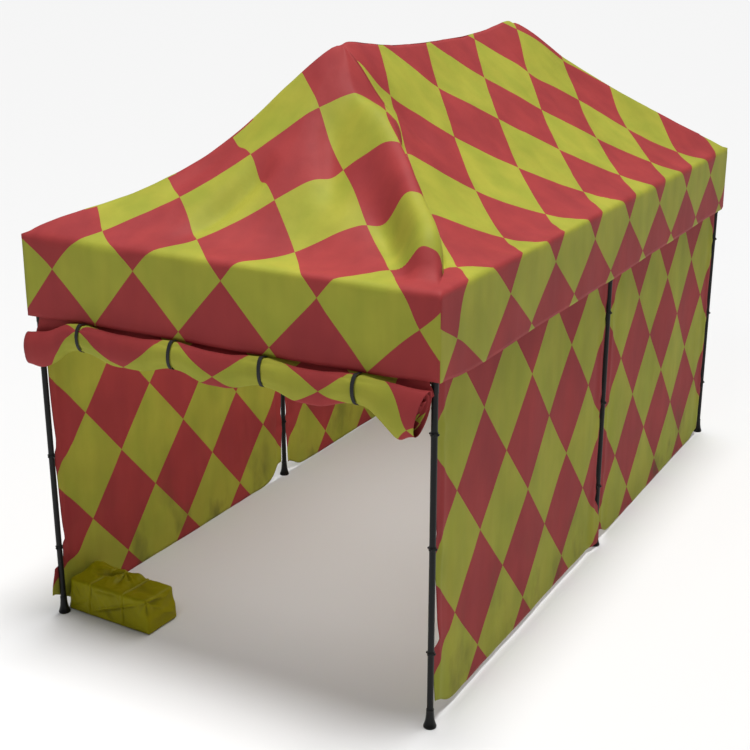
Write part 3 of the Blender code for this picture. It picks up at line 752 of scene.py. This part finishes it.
def build_canopy():
    """One continuous sheet: four valances and four slopes, sewn at the corners and hips."""
    cloth = bpy.context.scene.tent_cloth
    sides = [(side, step / count) for side, count in CANOPY_COLUMNS.items() for step in range(count)]
    starts = {side: sides.index((side, 0.0)) for side in CANOPY_COLUMNS}
    columns = len(sides)
    bm, places = grid(columns, VALANCE_ROWS + ROOF_ROWS)
    end_lengths = slope_lengths(end_sag, cloth.slope_sag)
    side_lengths = slope_lengths(side_sag, 0.50)

    @functools.cache
    def stand(side, share, row):
        """Place in space, and run of cloth up from the floor, of a grid corner."""
        if row <= VALANCE_ROWS:
            plan = canopy_plan(side, share, 0.0)
            hem = hem_height(side, plan.x, plan.y)
            height = mix(hem, EAVE_Z, row / VALANCE_ROWS)
            return Vector((plan.x, plan.y, height)), height
        plan = canopy_plan(side, share, (row - VALANCE_ROWS) / ROOF_ROWS)
        across, along = insets(plan.x, plan.y)
        lengths, own = (end_lengths, along) if side in ("front", "back") else (side_lengths, across)
        place = max(0.0, min(1.0, own)) * (len(lengths) - 1)
        step = min(int(place), len(lengths) - 2)
        climb = EAVE_Z + mix(lengths[step], lengths[step + 1], place - step)
        return Vector((plan.x, plan.y, roof_height(plan.x, plan.y, cloth))), climb

    layer = bm.loops.layers.uv.new("pattern")
    for face in bm.faces:
        side = sides[int((face.calc_center_median().x + 0.5) * columns)][0]
        for loop in face.loops:
            column, row = places[loop.vert.index]
            point, climb = stand(side, (column - starts[side]) / CANOPY_COLUMNS[side], row)
            loop[layer].uv = pattern_place(side, point.x, point.y, climb)
    for vert in bm.verts:
        column, row = places[vert.index]
        side, share = sides[min(column, columns - 1)]
        vert.co = stand(side, 1.0 if column == columns else share, row)[0]
    weld(bm, 0.0005)
    bm.verts.ensure_lookup_table()

    plans = [vert.co.copy() for vert in bm.verts]
    top = EAVE_Z + PEAK_RISE
    free = [vert for vert in bm.verts if not vert.is_boundary and vert.co.z < top - 0.02
            and not at_corner(vert.co)]
    edge = [vert for vert in free if EAVE_Z - 0.16 < plans[vert.index].z < EAVE_Z + 0.14]
    for verts, passes in ((free, 2), (edge, 5)):
        for _ in range(passes):
            smooth(bm, verts, 0.5)
    for vert in bm.verts:
        plan = plans[vert.index]
        if plan.z > EAVE_Z - 0.02:
            vert.co += fold_shift(plan.x, plan.y, cloth)
            vert.co.z -= valley_depth(plan.x, plan.y)
    bm.normal_update()
    nudges = [vert.normal * ripple(*plans[vert.index]) for vert in bm.verts]
    for vert, nudge in zip(bm.verts, nudges):
        vert.co += nudge
    canopy = finish_mesh("canopy", bm, "printed_polycotton_canopy")
    thicken(canopy, cloth.cloth_thickness)
    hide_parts(*ROOF_NODES, *VALANCE_NODES)


# The walls


def edge_gap(height, bows):
    """Gap from a pole's axis to a wall's side edge: it bows open down to each tie."""
    levels = (RAIL_Z, *TIE_HEIGHTS, 0.0)
    for bow, upper, lower in zip(bows, levels, levels[1:]):
        if height >= lower:
            share = (upper - height) / (upper - lower)
            if lower > 0.0 and share > 0.94:
                return TIE_GAP + bow * (1.0 - share) / 0.06
            return TIE_GAP + bow * (0.10 + 0.90 * max(0.0, share) ** 1.3)
    return TIE_GAP + bows[-1]


def radiating(along, height, seed):
    """Creases that radiate from the ties at one side edge."""
    total = 0.0
    for index, tie in enumerate(TIE_HEIGHTS):
        rise = height - tie
        reach = math.hypot(along, rise)
        turn = math.atan2(rise, along + 0.02)
        spread = bell(reach / 0.26) * (1.0 - bell(reach / 0.05))
        total += spread * math.cos(5.0 * turn + seed + index * 1.7)
    return total


def edge_folds(near, height, seed):
    """Soft upright folds close to a wall's side edge."""
    wander = 0.018 * wave(height * 1.6, seed, 2.0)
    first = bell((near - 0.105 - wander) / 0.026)
    second = bell((near - 0.205 + wander) / 0.045)
    return 0.0085 * first - 0.0035 * second - 0.007 * bell(near / 0.035)


def build_wall(name, start, run, outward, hem, bows, flaps, origin, seed):
    """A wall hung from the eave rail and tied to a pole at each side.

    hem is the hem's height at the start, in the middle and at the end. bows holds the gap of
    each stretch between ties at both edges, and flaps how far each lower corner swings past
    its pole.
    """
    cloth = bpy.context.scene.tent_cloth
    bm, places = grid(WALL_COLUMNS, WALL_ROWS)
    direction = run.normalized()
    length = run.length

    def flat_at(column):
        """Place along the flat wall, with the columns closer together near both edges."""
        share = column / WALL_COLUMNS
        return mix(share, ease(share), 0.45)

    def level(column, row):
        """Height of a place on the wall, whose hem is lifted towards its ends."""
        near = min(flat_at(column), 1.0 - flat_at(column)) * length
        lifted = (hem[0] if column < WALL_COLUMNS / 2 else hem[2]) - hem[1]
        low = hem[1] + lifted * bell(near / 0.15) + 0.004 * wave(column * 0.06, seed, 1.0)
        return mix(CLOTH_TOP, low, 1.0 - row / WALL_ROWS)

    def pattern(column, row):
        flat = mix(WALL_EDGE, length - WALL_EDGE, flat_at(column))
        lateral = (start + direction * flat).dot(direction)
        width, tall = WALL_REPEAT
        return (lateral - origin[0]) / width, (level(column, row) - origin[1]) / tall

    def place(column, row):
        height = level(column, row)
        # Below the lowest tie the lower corners swing past their poles
        swung = ease((0.40 - height) / 0.05) * 0.65 + ease((0.37 - height) / 0.22) * 0.35
        first = edge_gap(height, bows[0]) - flaps[0] * swung - WALL_EDGE
        last = edge_gap(height, bows[1]) - flaps[1] * swung - WALL_EDGE
        flat = mix(WALL_EDGE, length - WALL_EDGE, flat_at(column))
        along = flat + first * bell(flat / 0.22) - last * bell((length - flat) / 0.22)
        near, flap = min((along, flaps[0]), (length - along, flaps[1]))
        drop = 1.0 - row / WALL_ROWS
        hanging = math.sin(math.pi * min(1.0, drop * 1.05)) ** 0.7 if drop < 0.95 else 0.3
        swing = 0.005 * math.sin(5.0 * math.pi * along / length + seed) * hanging
        swing += 0.008 * wave(along * 1.7, height * 0.5, seed) * hanging
        swing += 0.0022 * wave(along * 7.0, height * 1.2, seed) * drop ** 0.4
        swing += 0.005 * (radiating(along, height, seed) + radiating(length - along, height, -seed))
        swing += edge_folds(near, height, seed) * ease(drop / 0.3)
        swing += 0.034 * swung * bell(near / 0.11) * (1.0 if flap > 0.0 else 0.0)
        point = start + direction * along + outward * (0.001 + swing)
        return Vector((point.x, point.y, height))

    lay_sheet(bm, places, place, pattern)
    wall = finish_mesh(name.replace("wall", "hung_wall"), bm, "printed_polycotton_wall")
    thicken(wall, cloth.wall_thickness, 0.0)
    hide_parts(name)


def build_walls():
    """Two walls on each long side and one across the back."""
    bow = bpy.context.scene.tent_cloth.edge_bow
    out = {"right": Vector((1.0, 0.0, 0.0)), "left": Vector((-1.0, 0.0, 0.0))}
    slack = (bow * 0.5, bow, bow, bow * 1.2)
    # Hem heights, bows at both edges, swing of both lower corners, and a crossing of the pattern
    plans = {
        ("right", "front"): ((0.14, 0.042, 0.035), ((0.0, 0.018, 0.070, 0.055), (0.0, 0.006, 0.026, 0.0)),
                             (0.0, 0.035), (-2.17, 1.049)),
        ("right", "back"): ((0.10, 0.016, 0.07), ((0.0, 0.006, 0.012, 0.055), slack),
                            (0.0, 0.0), (-2.17, 1.049)),
        ("left", "front"): ((0.155, 0.000, 0.14), ((0.024, 0.031, 0.033, 0.018), (0.0, 0.01, 0.012, 0.03)),
                            (0.125, 0.0), (-2.12, 1.000)),
        ("left", "back"): ((0.10, 0.010, 0.06), ((0.0, 0.01, 0.012, 0.05), slack),
                           (0.0, 0.0), (0.765, 1.005)),
    }
    for (side, bay), (hem, bows, flaps, origin) in plans.items():
        x = LEG_X if side == "right" else -LEG_X
        y = POLE_FRONT_Y if bay == "front" else POLE_MIDDLE_Y
        seed = 1.3 * len(bay) + (0.0 if side == "right" else 2.2)
        build_wall(f"wall_{side}_{bay}", Vector((x, y, 0.0)), Vector((0.0, BAY, 0.0)),
                   out[side], hem, bows, flaps, origin, seed)
    build_wall("wall_back", Vector((-LEG_X, POLE_BACK_Y, 0.0)), Vector((2 * LEG_X, 0.0, 0.0)),
               Vector((0.0, 1.0, 0.0)), (0.10, 0.025, 0.11), (slack, slack), (0.0, 0.0),
               (0.057, 1.049), 3.7)


# The rolled door


ROLL_Y = middle("door_roll").y
ROLL_DEPTH = (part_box("door_roll")[1].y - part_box("door_roll")[0].y) / 2
STRAPS_X = tuple(middle(node).x for node in STRAP_NODES)


def strap_gap(x):
    """Distance along the roll to the nearest strap."""
    return min(abs(x - strap) for strap in STRAPS_X)


def roll_section(x):
    """Middle height and half height of the rolled door, which bulges up to the hem between straps."""
    full = ease((strap_gap(x) - 0.014) / 0.26)
    left = ease((-1.12 - x) / 0.30)
    right = ease((x - 1.06) / 0.30) * (1.0 - 0.25 * ease((x - 1.38) / 0.12))
    low = 2.056 - 0.060 * full - 0.112 * left - 0.110 * right
    high = mix(2.242, hem_height("front", x, FRONT_Y) - 0.012, full) - 0.062 * left
    return (high + low) / 2.0, (high - low) / 2.0


def pinch(x, angle):
    """Creases that gather towards a strap, as a share of the roll's radius."""
    near = strap_gap(x)
    fan = bell(near / 0.11) * (1.0 - bell(near / 0.014))
    ridge = 2.0 * abs(math.sin(4.0 * angle + 9.0 * near + 0.7 * wave(x * 3.0, angle))) ** 0.6 - 1.0
    return fan * ridge - 1.6 * bell(near / 0.018)


def door_shares(columns):
    """Places of the door's columns from -1 to 1, closer together beside the straps."""
    steps = 3000
    spots = [2.0 * step / steps - 1.0 for step in range(steps + 1)]
    weight = [1.0 + 2.8 * bell(strap_gap(1.5 * spot) / 0.10) + 1.5 * ease((spot - 0.9) / 0.05)
              for spot in spots]
    total = sum(weight)
    shares = []
    run = 0.0
    for spot, amount in zip(spots, weight):
        while len(shares) <= columns and run >= total * len(shares) / columns:
            shares.append(spot)
        run += amount
    return shares + [1.0] * (columns + 1 - len(shares))


def build_door():
    """One sheet: it hangs from the front rail and ends in a spiral roll held by four straps."""
    cloth = bpy.context.scene.tent_cloth
    turns = cloth.roll_turns
    outer_rows = 56
    per_turn = 26
    hanging_rows = 14
    columns = 210
    rows = hanging_rows + outer_rows + (turns - 1) * per_turn
    shares = door_shares(columns)
    bm, places = grid(columns, rows)
    width, tall, bunched_tall = DOOR_REPEAT
    first = math.radians(34.0)
    pitch = 0.86 / turns

    def turned_by(row):
        """Turns of the roll from where it starts to a row."""
        inner = row - hanging_rows - outer_rows
        return 1.0 + inner / per_turn if inner > 0 else 1.0 + inner / outer_rows

    def reach_at(row):
        if row <= hanging_rows:
            down = row / hanging_rows
            return mix(mix(1.420, 1.452, ease(down / 0.10)), 1.488, ease((down - 0.80) / 0.20))
        turn = turned_by(row)
        return 1.505 - 0.007 * turn + 0.007 * math.sin(turn * 2.3)

    def place(column, row):
        x = reach_at(row) * shares[column]
        centre, half = roll_section(x)
        near = strap_gap(x)
        slack = ease(near / 0.16)
        deep = ROLL_DEPTH * (0.86 + 0.14 * slack)
        start_y = ROLL_Y + deep * math.cos(first)
        start_z = centre + half * math.sin(first)
        if row <= hanging_rows:
            down = row / hanging_rows
            folds = 0.006 * math.sin(down * math.pi) * wave(x * 5.0, down * 2.0, 4.0)
            return Vector((x, mix(POLE_FRONT_Y, start_y, down) + folds, mix(CLOTH_TOP, start_z, down)))
        turn = turned_by(row)
        angle = first - turn * 2.0 * math.pi
        # The turns spread apart where the right end of the roll hangs open
        open_end = ease((x - 1.22) / 0.26)
        size = 1.0 - pitch * turn * mix(0.72, 1.0, open_end)
        size += 0.055 * open_end * math.sin(2.0 * angle + 1.7 * turn) * min(1.0, turn)
        if x < -1.40:
            size *= 1.0 - 0.10 * ease((-1.40 - x) / 0.11)
        rumple = 1.0 + slack * 0.050 * wave(x * 3.4, math.cos(angle) * 1.3, math.sin(angle) * 1.3)
        rumple += 0.020 * slack * wave(x * 9.0, math.cos(angle) * 2.6, math.sin(angle) * 2.6)
        rumple += 0.070 * pinch(x, angle)
        y = ROLL_Y + deep * size * min(rumple, 1.06) * math.cos(angle)
        z = centre + half * size * rumple * math.sin(angle)
        # The open end is cut back below, and its layers have slipped past one another
        x -= open_end * (0.046 * (1.0 - math.sin(angle)) + 0.022 * (1.0 - math.cos(angle)))
        x -= open_end * 0.014 * math.sin(2.3 * turn + angle)
        x -= open_end * 0.030 * max(0.0, turn - 1.0) / turns
        return Vector((x, y, z))

    lengths = [0.0]
    for row in range(rows):
        step = place(columns // 2, row + 1) - place(columns // 2, row)
        lengths.append(lengths[-1] + step.length)
    crossing = lengths[hanging_rows + round(0.60 * outer_rows)]

    def pattern(column, row):
        x = 1.475 * shares[column]
        # The cloth was rolled up a little askew, so the row of diamonds droops at both ends
        askew = -0.06 * (0.75 - x) ** 1.6 if x < 0.75 else -0.17 * (x - 0.75) ** 2
        askew -= 0.9 * max(0.0, roll_section(x)[0] - 2.100) * ease((strap_gap(x) - 0.05) / 0.2)
        rise = lengths[rows - row] - crossing - askew
        up = rise / bunched_tall if rise > -0.25 else (rise + 0.25) / tall - 0.595
        return (x - 0.031 - 0.04 * bell((x - 0.78) / 0.3)) / width, up

    lay_sheet(bm, places, lambda column, row: place(column, rows - row), pattern)
    door = finish_mesh("rolled_door", bm, "printed_polycotton_wall")
    thicken(door, cloth.wall_thickness, 0.0)
    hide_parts("door_roll", "door_hanging")


def strap_path(x):
    """A strap's way in a plane across the roll: over the rail, round the roll, up behind the hem."""
    centre, half = roll_section(x)
    rail = RAIL_RADIUS + 0.0022
    deep = ROLL_DEPTH * 0.86 + 0.0025
    path = []
    for step in range(9):
        angle = math.radians(mix(180.0, 0.0, step / 8))
        path.append(Vector((POLE_FRONT_Y + rail * math.cos(angle), RAIL_Z + rail * math.sin(angle))))
    for step in range(33):
        angle = math.radians(mix(20.0, -258.0, step / 32))
        path.append(Vector((ROLL_Y + deep * math.cos(angle), centre + (half + 0.0025) * math.sin(angle))))
    path.append(Vector((FRONT_Y + 0.0075, hem_height("front", x, FRONT_Y) - 0.003)))
    path.append(path[0].copy())
    return path


def build_straps():
    """Webbing loops over the front rail and round the roll, each a little twisted."""
    across_rows = 4
    width = 0.024
    for number, node in enumerate(STRAP_NODES):
        x = STRAPS_X[number]
        path = strap_path(x)
        bm, places = grid(len(path) - 1, across_rows)

        def place(column, row):
            share = column / (len(path) - 1)
            across = (row / across_rows - 0.5) * width
            skew = 0.010 * math.sin(share * math.pi) * math.sin(number * 2.1 + share * 5.0)
            return Vector((x + across + skew, path[column].x, path[column].y))

        lay_sheet(bm, places, place)
        strap = finish_mesh(f"webbing_strap_{number + 1}", bm, "polypropylene_webbing", angle=60.0)
        thicken(strap, 0.0018, 0.0)
        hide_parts(node)


# Poles, feet and frame


def build_poles():
    """Sectional steel poles with tie collars, lugs and a sleeve below the valance."""
    seam = POLE_RADIUS - 0.0006
    bore = POLE_RADIUS + 0.0002
    lower, upper = SLEEVE
    sleeve = [(bore, upper), (0.0222, upper), (0.0225, upper - 0.002), (0.0225, lower + 0.002),
              (0.0222, lower), (bore, lower), (bore, upper)]
    # Radius and height of a collar's upper half, which is mirrored below
    collar = [(bore, 0.012), (0.0232, 0.012), (0.0240, 0.0105), (0.0240, 0.003), (0.0232, 0.001)]
    for leg in LEG_NODES:
        node = f"leg_{leg}"
        low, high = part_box(node)
        centre = middle(node)
        ground = Vector((centre.x, centre.y, 0.0))
        profile = [(0.0, high.z), (POLE_RADIUS - 0.002, high.z), (POLE_RADIUS, high.z - 0.002)]
        for tie in TIE_HEIGHTS:
            for level in (tie + 0.073, tie - 0.073):
                profile += [(POLE_RADIUS, level + 0.002), (seam, level + 0.001),
                            (seam, level - 0.001), (POLE_RADIUS, level - 0.002)]
        profile += [(POLE_RADIUS, low.z), (0.0, low.z)]
        bm = bmesh.new()
        turned(bm, profile, ground, 32)
        weld(bm)
        pole = finish_mesh(f"pole_{leg}", bm, "powder_coated_steel", angle=30.0)
        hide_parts(node)
        bm = bmesh.new()
        turned(bm, sleeve, ground, 32)
        for tie in TIE_HEIGHTS:
            ring = [(radius, tie + rise) for radius, rise in collar]
            ring += [(radius, tie - rise) for radius, rise in reversed(collar)]
            turned(bm, ring + ring[:1], ground, 32)
            for x, y in ((-1, 0), (0, -1), (1, 0), (0, 1)):
                block(bm, ground + Vector((0.026 * x, 0.026 * y, tie)), (0.012, 0.012, 0.011))
        weld(bm)
        collars = finish_mesh(f"collars_{leg}", bm, "moulded_nylon", angle=30.0)


def build_feet():
    """Flared rubber boots on the pole ends, with a rim and a tread line."""
    bore = POLE_RADIUS + 0.0003
    for leg in LEG_NODES:
        node = f"foot_{leg}"
        low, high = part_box(node)
        centre = middle(node)
        radius = (high.x - low.x) / 2
        profile = [(0.0, 0.020), (bore, 0.020), (bore, high.z - 0.001), (0.0228, high.z),
                   (0.0243, high.z - 0.002), (0.0243, high.z - 0.008), (0.0236, high.z - 0.010),
                   (0.0243, 0.104), (0.0252, 0.085), (0.0272, 0.064), (0.0305, 0.045),
                   (0.0345, 0.029), (0.0385, 0.018), (radius - 0.001, 0.013), (radius, 0.010),
                   (radius, 0.007), (radius - 0.0015, 0.0055), (radius - 0.001, 0.003),
                   (radius - 0.003, 0.0), (0.0, 0.0)]
        bm = bmesh.new()
        turned(bm, profile, Vector((centre.x, centre.y, 0.0)), 40)
        weld(bm)
        foot = finish_mesh(f"boot_{leg}", bm, "moulded_rubber", angle=35.0)
        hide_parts(node)


def finish_frame():
    """Gives the rails, beams, king posts and corner blocks their finish."""
    finishes = {"powder_coated_steel": RAIL_NODES + INNER_NODES,
                "moulded_nylon": [f"block_{leg}" for leg in LEG_NODES]}
    for name, nodes in finishes.items():
        for node in nodes:
            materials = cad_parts[node].data.materials
            materials.clear()
            materials.append(shared(name))


# The carry bag


def crease_line(place, start, end, width):
    """How close a point of a flat face is to a crease that fades at both ends."""
    run = end - start
    share = (place - start).dot(run) / run.length_squared
    gap = (place - start - run * max(0.0, min(1.0, share))).length
    return bell(gap / width) * ease(1.2 - abs(2.0 * share - 1.0))


def ridged(x, y, z):
    """Noise with sharp ridges, between about -1 and 1."""
    return 1.0 - 3.2 * abs(wave(x, y, z))


def bag_relief(x, y, z, size):
    """How far the bag's cloth stands out at a place, seam grooves and creases in."""
    push = 0.006 * wave(x * 5.0, y * 6.0, z * 6.0) + 0.0034 * ridged(x * 8.0, y * 8.0, z * 8.0 + x * 6.0)
    for seam in BAG_SEAMS:
        push += 0.0060 * bell((x - seam + 0.011) / 0.009) - 0.0080 * bell((x - seam) / 0.006)
    if y < -0.8 * size.y:
        for start, end, deep in BAG_CREASES:
            push += deep * crease_line(Vector((x, z)), Vector(start), Vector(end), 0.009)
    if x > 0.9 * size.x:
        for start, end, deep in BAG_END_CREASES:
            push += deep * crease_line(Vector((y, z)), Vector(start), Vector(end), 0.010)
    corner = Vector((x - size.x, y + size.y, z - 2.0 * size.z))
    reach = corner.length
    push += 0.009 * bell((reach - 0.06) / 0.05) * math.cos(6.0 * math.atan2(corner.z, corner.x + corner.y))
    if z > 1.7 * size.z:
        # The drawn-up mouth of the bag ruffles the cloth on top
        ruffle = bell((x + 0.10) / 0.16) * bell((y - 0.06) / 0.11)
        turn = math.atan2(y - 0.12, x + 0.06)
        push += 0.017 * ruffle * ridged(math.cos(turn) * 2.6, math.sin(turn) * 2.6, 3.0 + x * 4.0)
        push += 0.007 * ruffle * ridged(x * 17.0, y * 9.0, 1.0)
        for lump_x, lump_y, wide, deep, lift in BAG_LUMPS:
            push += lift * bell((x - lump_x) / wide) * bell((y - lump_y) / deep)
    return push


def hollow(push):
    """How far a place lies down in a crease or beside a seam, from 0 to 1."""
    return ease((-push - 0.002) / 0.008)


def build_bag():
    """The tent's stuffed carry bag: a box of cloth with two seams and a drawn-up mouth."""
    low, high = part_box("carry_bag")
    size = Vector((0.366, 0.150, 0.125))
    radius = 0.020
    centre = Vector(((low.x + high.x) / 2 - 0.030, (low.y + high.y) / 2, 0.0))
    bm = bmesh.new()
    bmesh.ops.create_cube(bm, size=2.0)
    for axis, cuts in enumerate((119, 44, 40)):
        along = [edge for edge in bm.edges
                 if abs(edge.verts[0].co[axis] - edge.verts[1].co[axis]) > 1.0]
        bmesh.ops.subdivide_edges(bm, edges=along, cuts=cuts, use_grid_fill=True)
    for vert in bm.verts:
        spread = Vector((vert.co.x * size.x, vert.co.y * size.y, vert.co.z * size.z))
        core = Vector([max(radius - edge, min(edge - radius, value))
                       for value, edge in zip(spread, size)])
        off = spread - core
        if off.length > 0.0:
            spread = core + off.normalized() * min(off.length, radius)
        taper = 1.0 - 0.030 * vert.co.z
        pillow = 1.0 + 0.05 * (1.0 - vert.co.x ** 2) * (1.0 - vert.co.z ** 2)
        vert.co = (spread.x * taper, spread.y * taper * pillow, spread.z + size.z)
    bm.normal_update()
    pushes = [bag_relief(*vert.co, size) for vert in bm.verts]
    # The crease mask, which the bag's material darkens as painted shade
    crease = bm.verts.layers.float.new("crease")
    for vert, push in zip(bm.verts, pushes):
        vert[crease] = hollow(push)
        vert.co += vert.normal * push * ease(vert.co.z / 0.03)
        vert.co.z = max(0.0, vert.co.z)
    smooth(bm, list(bm.verts), 0.15)
    bmesh.ops.rotate(bm, verts=list(bm.verts), cent=(0, 0, 0),
                     matrix=Matrix.Rotation(math.radians(-2.0), 3, "Z"))
    bmesh.ops.translate(bm, verts=list(bm.verts), vec=centre)
    weld(bm)
    bag = finish_mesh("stuffed_bag", bm, "coated_oxford_cloth", angle=80.0)
    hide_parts("carry_bag")


# The studio


CAMERA_PLACE = Vector((4.551, -9.0335, 4.6043))
CAMERA_YAW = 0.5105
CAMERA_PITCH = 0.3246
CAMERA_LENS = 62.405


def add_light(name, kind, place, aim, energy, **settings):
    """A soft light at a place that shines one way and stays out of the picture."""
    data = bpy.data.lights.new(name, kind)
    data.energy = energy
    for key, value in settings.items():
        setattr(data, key, value)
    light = bpy.data.objects.new(name, data)
    light.visible_camera = False
    light.location = place
    light.rotation_mode = "QUATERNION"
    light.rotation_quaternion = Vector(aim).to_track_quat("-Z", "Y")
    bpy.context.scene.collection.objects.link(light)


def build_stage():
    """Floor, sky, lights, and the camera at the picture's angle."""
    bm = bmesh.new()
    bmesh.ops.create_grid(bm, x_segments=2, y_segments=2, size=150.0)
    mesh = bpy.data.meshes.new("studio_floor")
    bm.to_mesh(mesh)
    bm.free()
    floor = bpy.data.objects.new("studio_floor", mesh)
    bpy.context.scene.collection.objects.link(floor)
    mat, _, shader, _ = new_material("matt_studio_floor")
    shader.inputs["Base Color"].default_value = linear(bpy.context.scene.tent_colours.floor)
    shader.inputs["Roughness"].default_value = 0.9
    shader.inputs["Specular IOR Level"].default_value = 0.1
    mesh.materials.append(mat)

    world = bpy.data.worlds.new("studio_sky")
    world.use_nodes = True
    tree = world.node_tree
    sky = tree.nodes["Background"]
    # The backdrop is pale to the lens, and gives only a little light of its own
    seen = add_node(tree, "LightPath", output="Is Camera Ray")
    power = add_node(tree, "MapRange", {"Value": seen, "To Min": 0.11, "To Max": 0.92})
    tree.links.new(power, sky.inputs["Strength"])
    sky.inputs["Color"].default_value = (1.0, 1.0, 1.0, 1.0)
    bpy.context.scene.world = world
    bpy.context.scene.view_settings.view_transform = "Standard"
    add_light("overhead_skylight", "SUN", (0.0, 0.0, 0.0), (-0.04, -0.12, -1.0), 3.9,
              angle=math.radians(25.0))
    add_light("front_fill", "AREA", (0.5, -9.5, 11.0), (-0.5, 7.5, -9.4), 190.0,
              shape="RECTANGLE", size=4.0, size_y=4.0)
    add_light("inside_fill", "AREA", (0.0, 0.0, 2.5), (0.0, 0.0, -2.5), 66.0,
              shape="RECTANGLE", size=2.2, size_y=5.0)

    data = bpy.data.cameras.new("camera")
    data.lens = CAMERA_LENS
    data.sensor_width = 36.0
    data.clip_end = 400.0
    camera = bpy.data.objects.new("camera", data)
    camera.location = CAMERA_PLACE
    camera.rotation_euler = (math.pi / 2 - CAMERA_PITCH, 0.0, CAMERA_YAW)
    bpy.context.scene.collection.objects.link(camera)
    bpy.context.scene.camera = camera


# Operators, panel and registration


class TENT_OT_canopy(bpy.types.Operator):
    """Sews the canopy as one sheet over the two peaks"""

    bl_idname = "tent.canopy"
    bl_label = "Canopy"

    def execute(self, context):
        build_canopy()
        return {"FINISHED"}


class TENT_OT_walls(bpy.types.Operator):
    """Hangs the five walls from the eave rails"""

    bl_idname = "tent.walls"
    bl_label = "Walls"

    def execute(self, context):
        build_walls()
        return {"FINISHED"}


class TENT_OT_door(bpy.types.Operator):
    """Rolls the front door up under its rail"""

    bl_idname = "tent.door"
    bl_label = "Rolled door"

    def execute(self, context):
        build_door()
        return {"FINISHED"}


class TENT_OT_straps(bpy.types.Operator):
    """Loops the webbing straps round the roll"""

    bl_idname = "tent.straps"
    bl_label = "Straps"

    def execute(self, context):
        build_straps()
        return {"FINISHED"}


class TENT_OT_poles(bpy.types.Operator):
    """Turns the six sectional poles and their collars"""

    bl_idname = "tent.poles"
    bl_label = "Poles"

    def execute(self, context):
        build_poles()
        return {"FINISHED"}


class TENT_OT_feet(bpy.types.Operator):
    """Moulds the rubber boots under the poles"""

    bl_idname = "tent.feet"
    bl_label = "Feet"

    def execute(self, context):
        build_feet()
        return {"FINISHED"}


class TENT_OT_frame(bpy.types.Operator):
    """Finishes the rails, beams, king posts and corner blocks"""

    bl_idname = "tent.frame"
    bl_label = "Frame finish"

    def execute(self, context):
        finish_frame()
        return {"FINISHED"}


class TENT_OT_bag(bpy.types.Operator):
    """Stuffs the carry bag by the front left foot"""

    bl_idname = "tent.bag"
    bl_label = "Carry bag"

    def execute(self, context):
        build_bag()
        return {"FINISHED"}


class TENT_OT_stage(bpy.types.Operator):
    """Sets up the floor, light and camera"""

    bl_idname = "tent.stage"
    bl_label = "Stage"

    def execute(self, context):
        build_stage()
        return {"FINISHED"}


STEPS = (TENT_OT_stage, TENT_OT_canopy, TENT_OT_walls, TENT_OT_door, TENT_OT_straps,
         TENT_OT_poles, TENT_OT_feet, TENT_OT_frame, TENT_OT_bag)


class TENT_PT_panel(bpy.types.Panel):
    """Lists the tent's pieces and sizes"""

    bl_label = "Canopy tent"
    bl_idname = "TENT_PT_panel"
    bl_space_type = "VIEW_3D"
    bl_region_type = "UI"
    bl_category = "Tent"

    def draw(self, context):
        layout = self.layout
        for step in STEPS:
            layout.operator(step.bl_idname)
        for group in (context.scene.tent_cloth, context.scene.tent_colours):
            box = layout.box()
            for key in group.__annotations__:
                box.prop(group, key)


CLASSES = (TentCloth, TentColours, *STEPS, TENT_PT_panel)


def register():
    for cls in CLASSES:
        bpy.utils.register_class(cls)
    bpy.types.Scene.tent_cloth = bpy.props.PointerProperty(type=TentCloth)
    bpy.types.Scene.tent_colours = bpy.props.PointerProperty(type=TentColours)


def unregister():
    del bpy.types.Scene.tent_colours
    del bpy.types.Scene.tent_cloth
    for cls in reversed(CLASSES):
        bpy.utils.unregister_class(cls)


def main():
    """Registers the add-on and builds every piece."""
    register()
    for operation in (bpy.ops.tent.stage, bpy.ops.tent.canopy, bpy.ops.tent.walls,
                      bpy.ops.tent.door, bpy.ops.tent.straps, bpy.ops.tent.poles,
                      bpy.ops.tent.feet, bpy.ops.tent.frame, bpy.ops.tent.bag):
        operation()


if __name__ == "__main__":
    main()
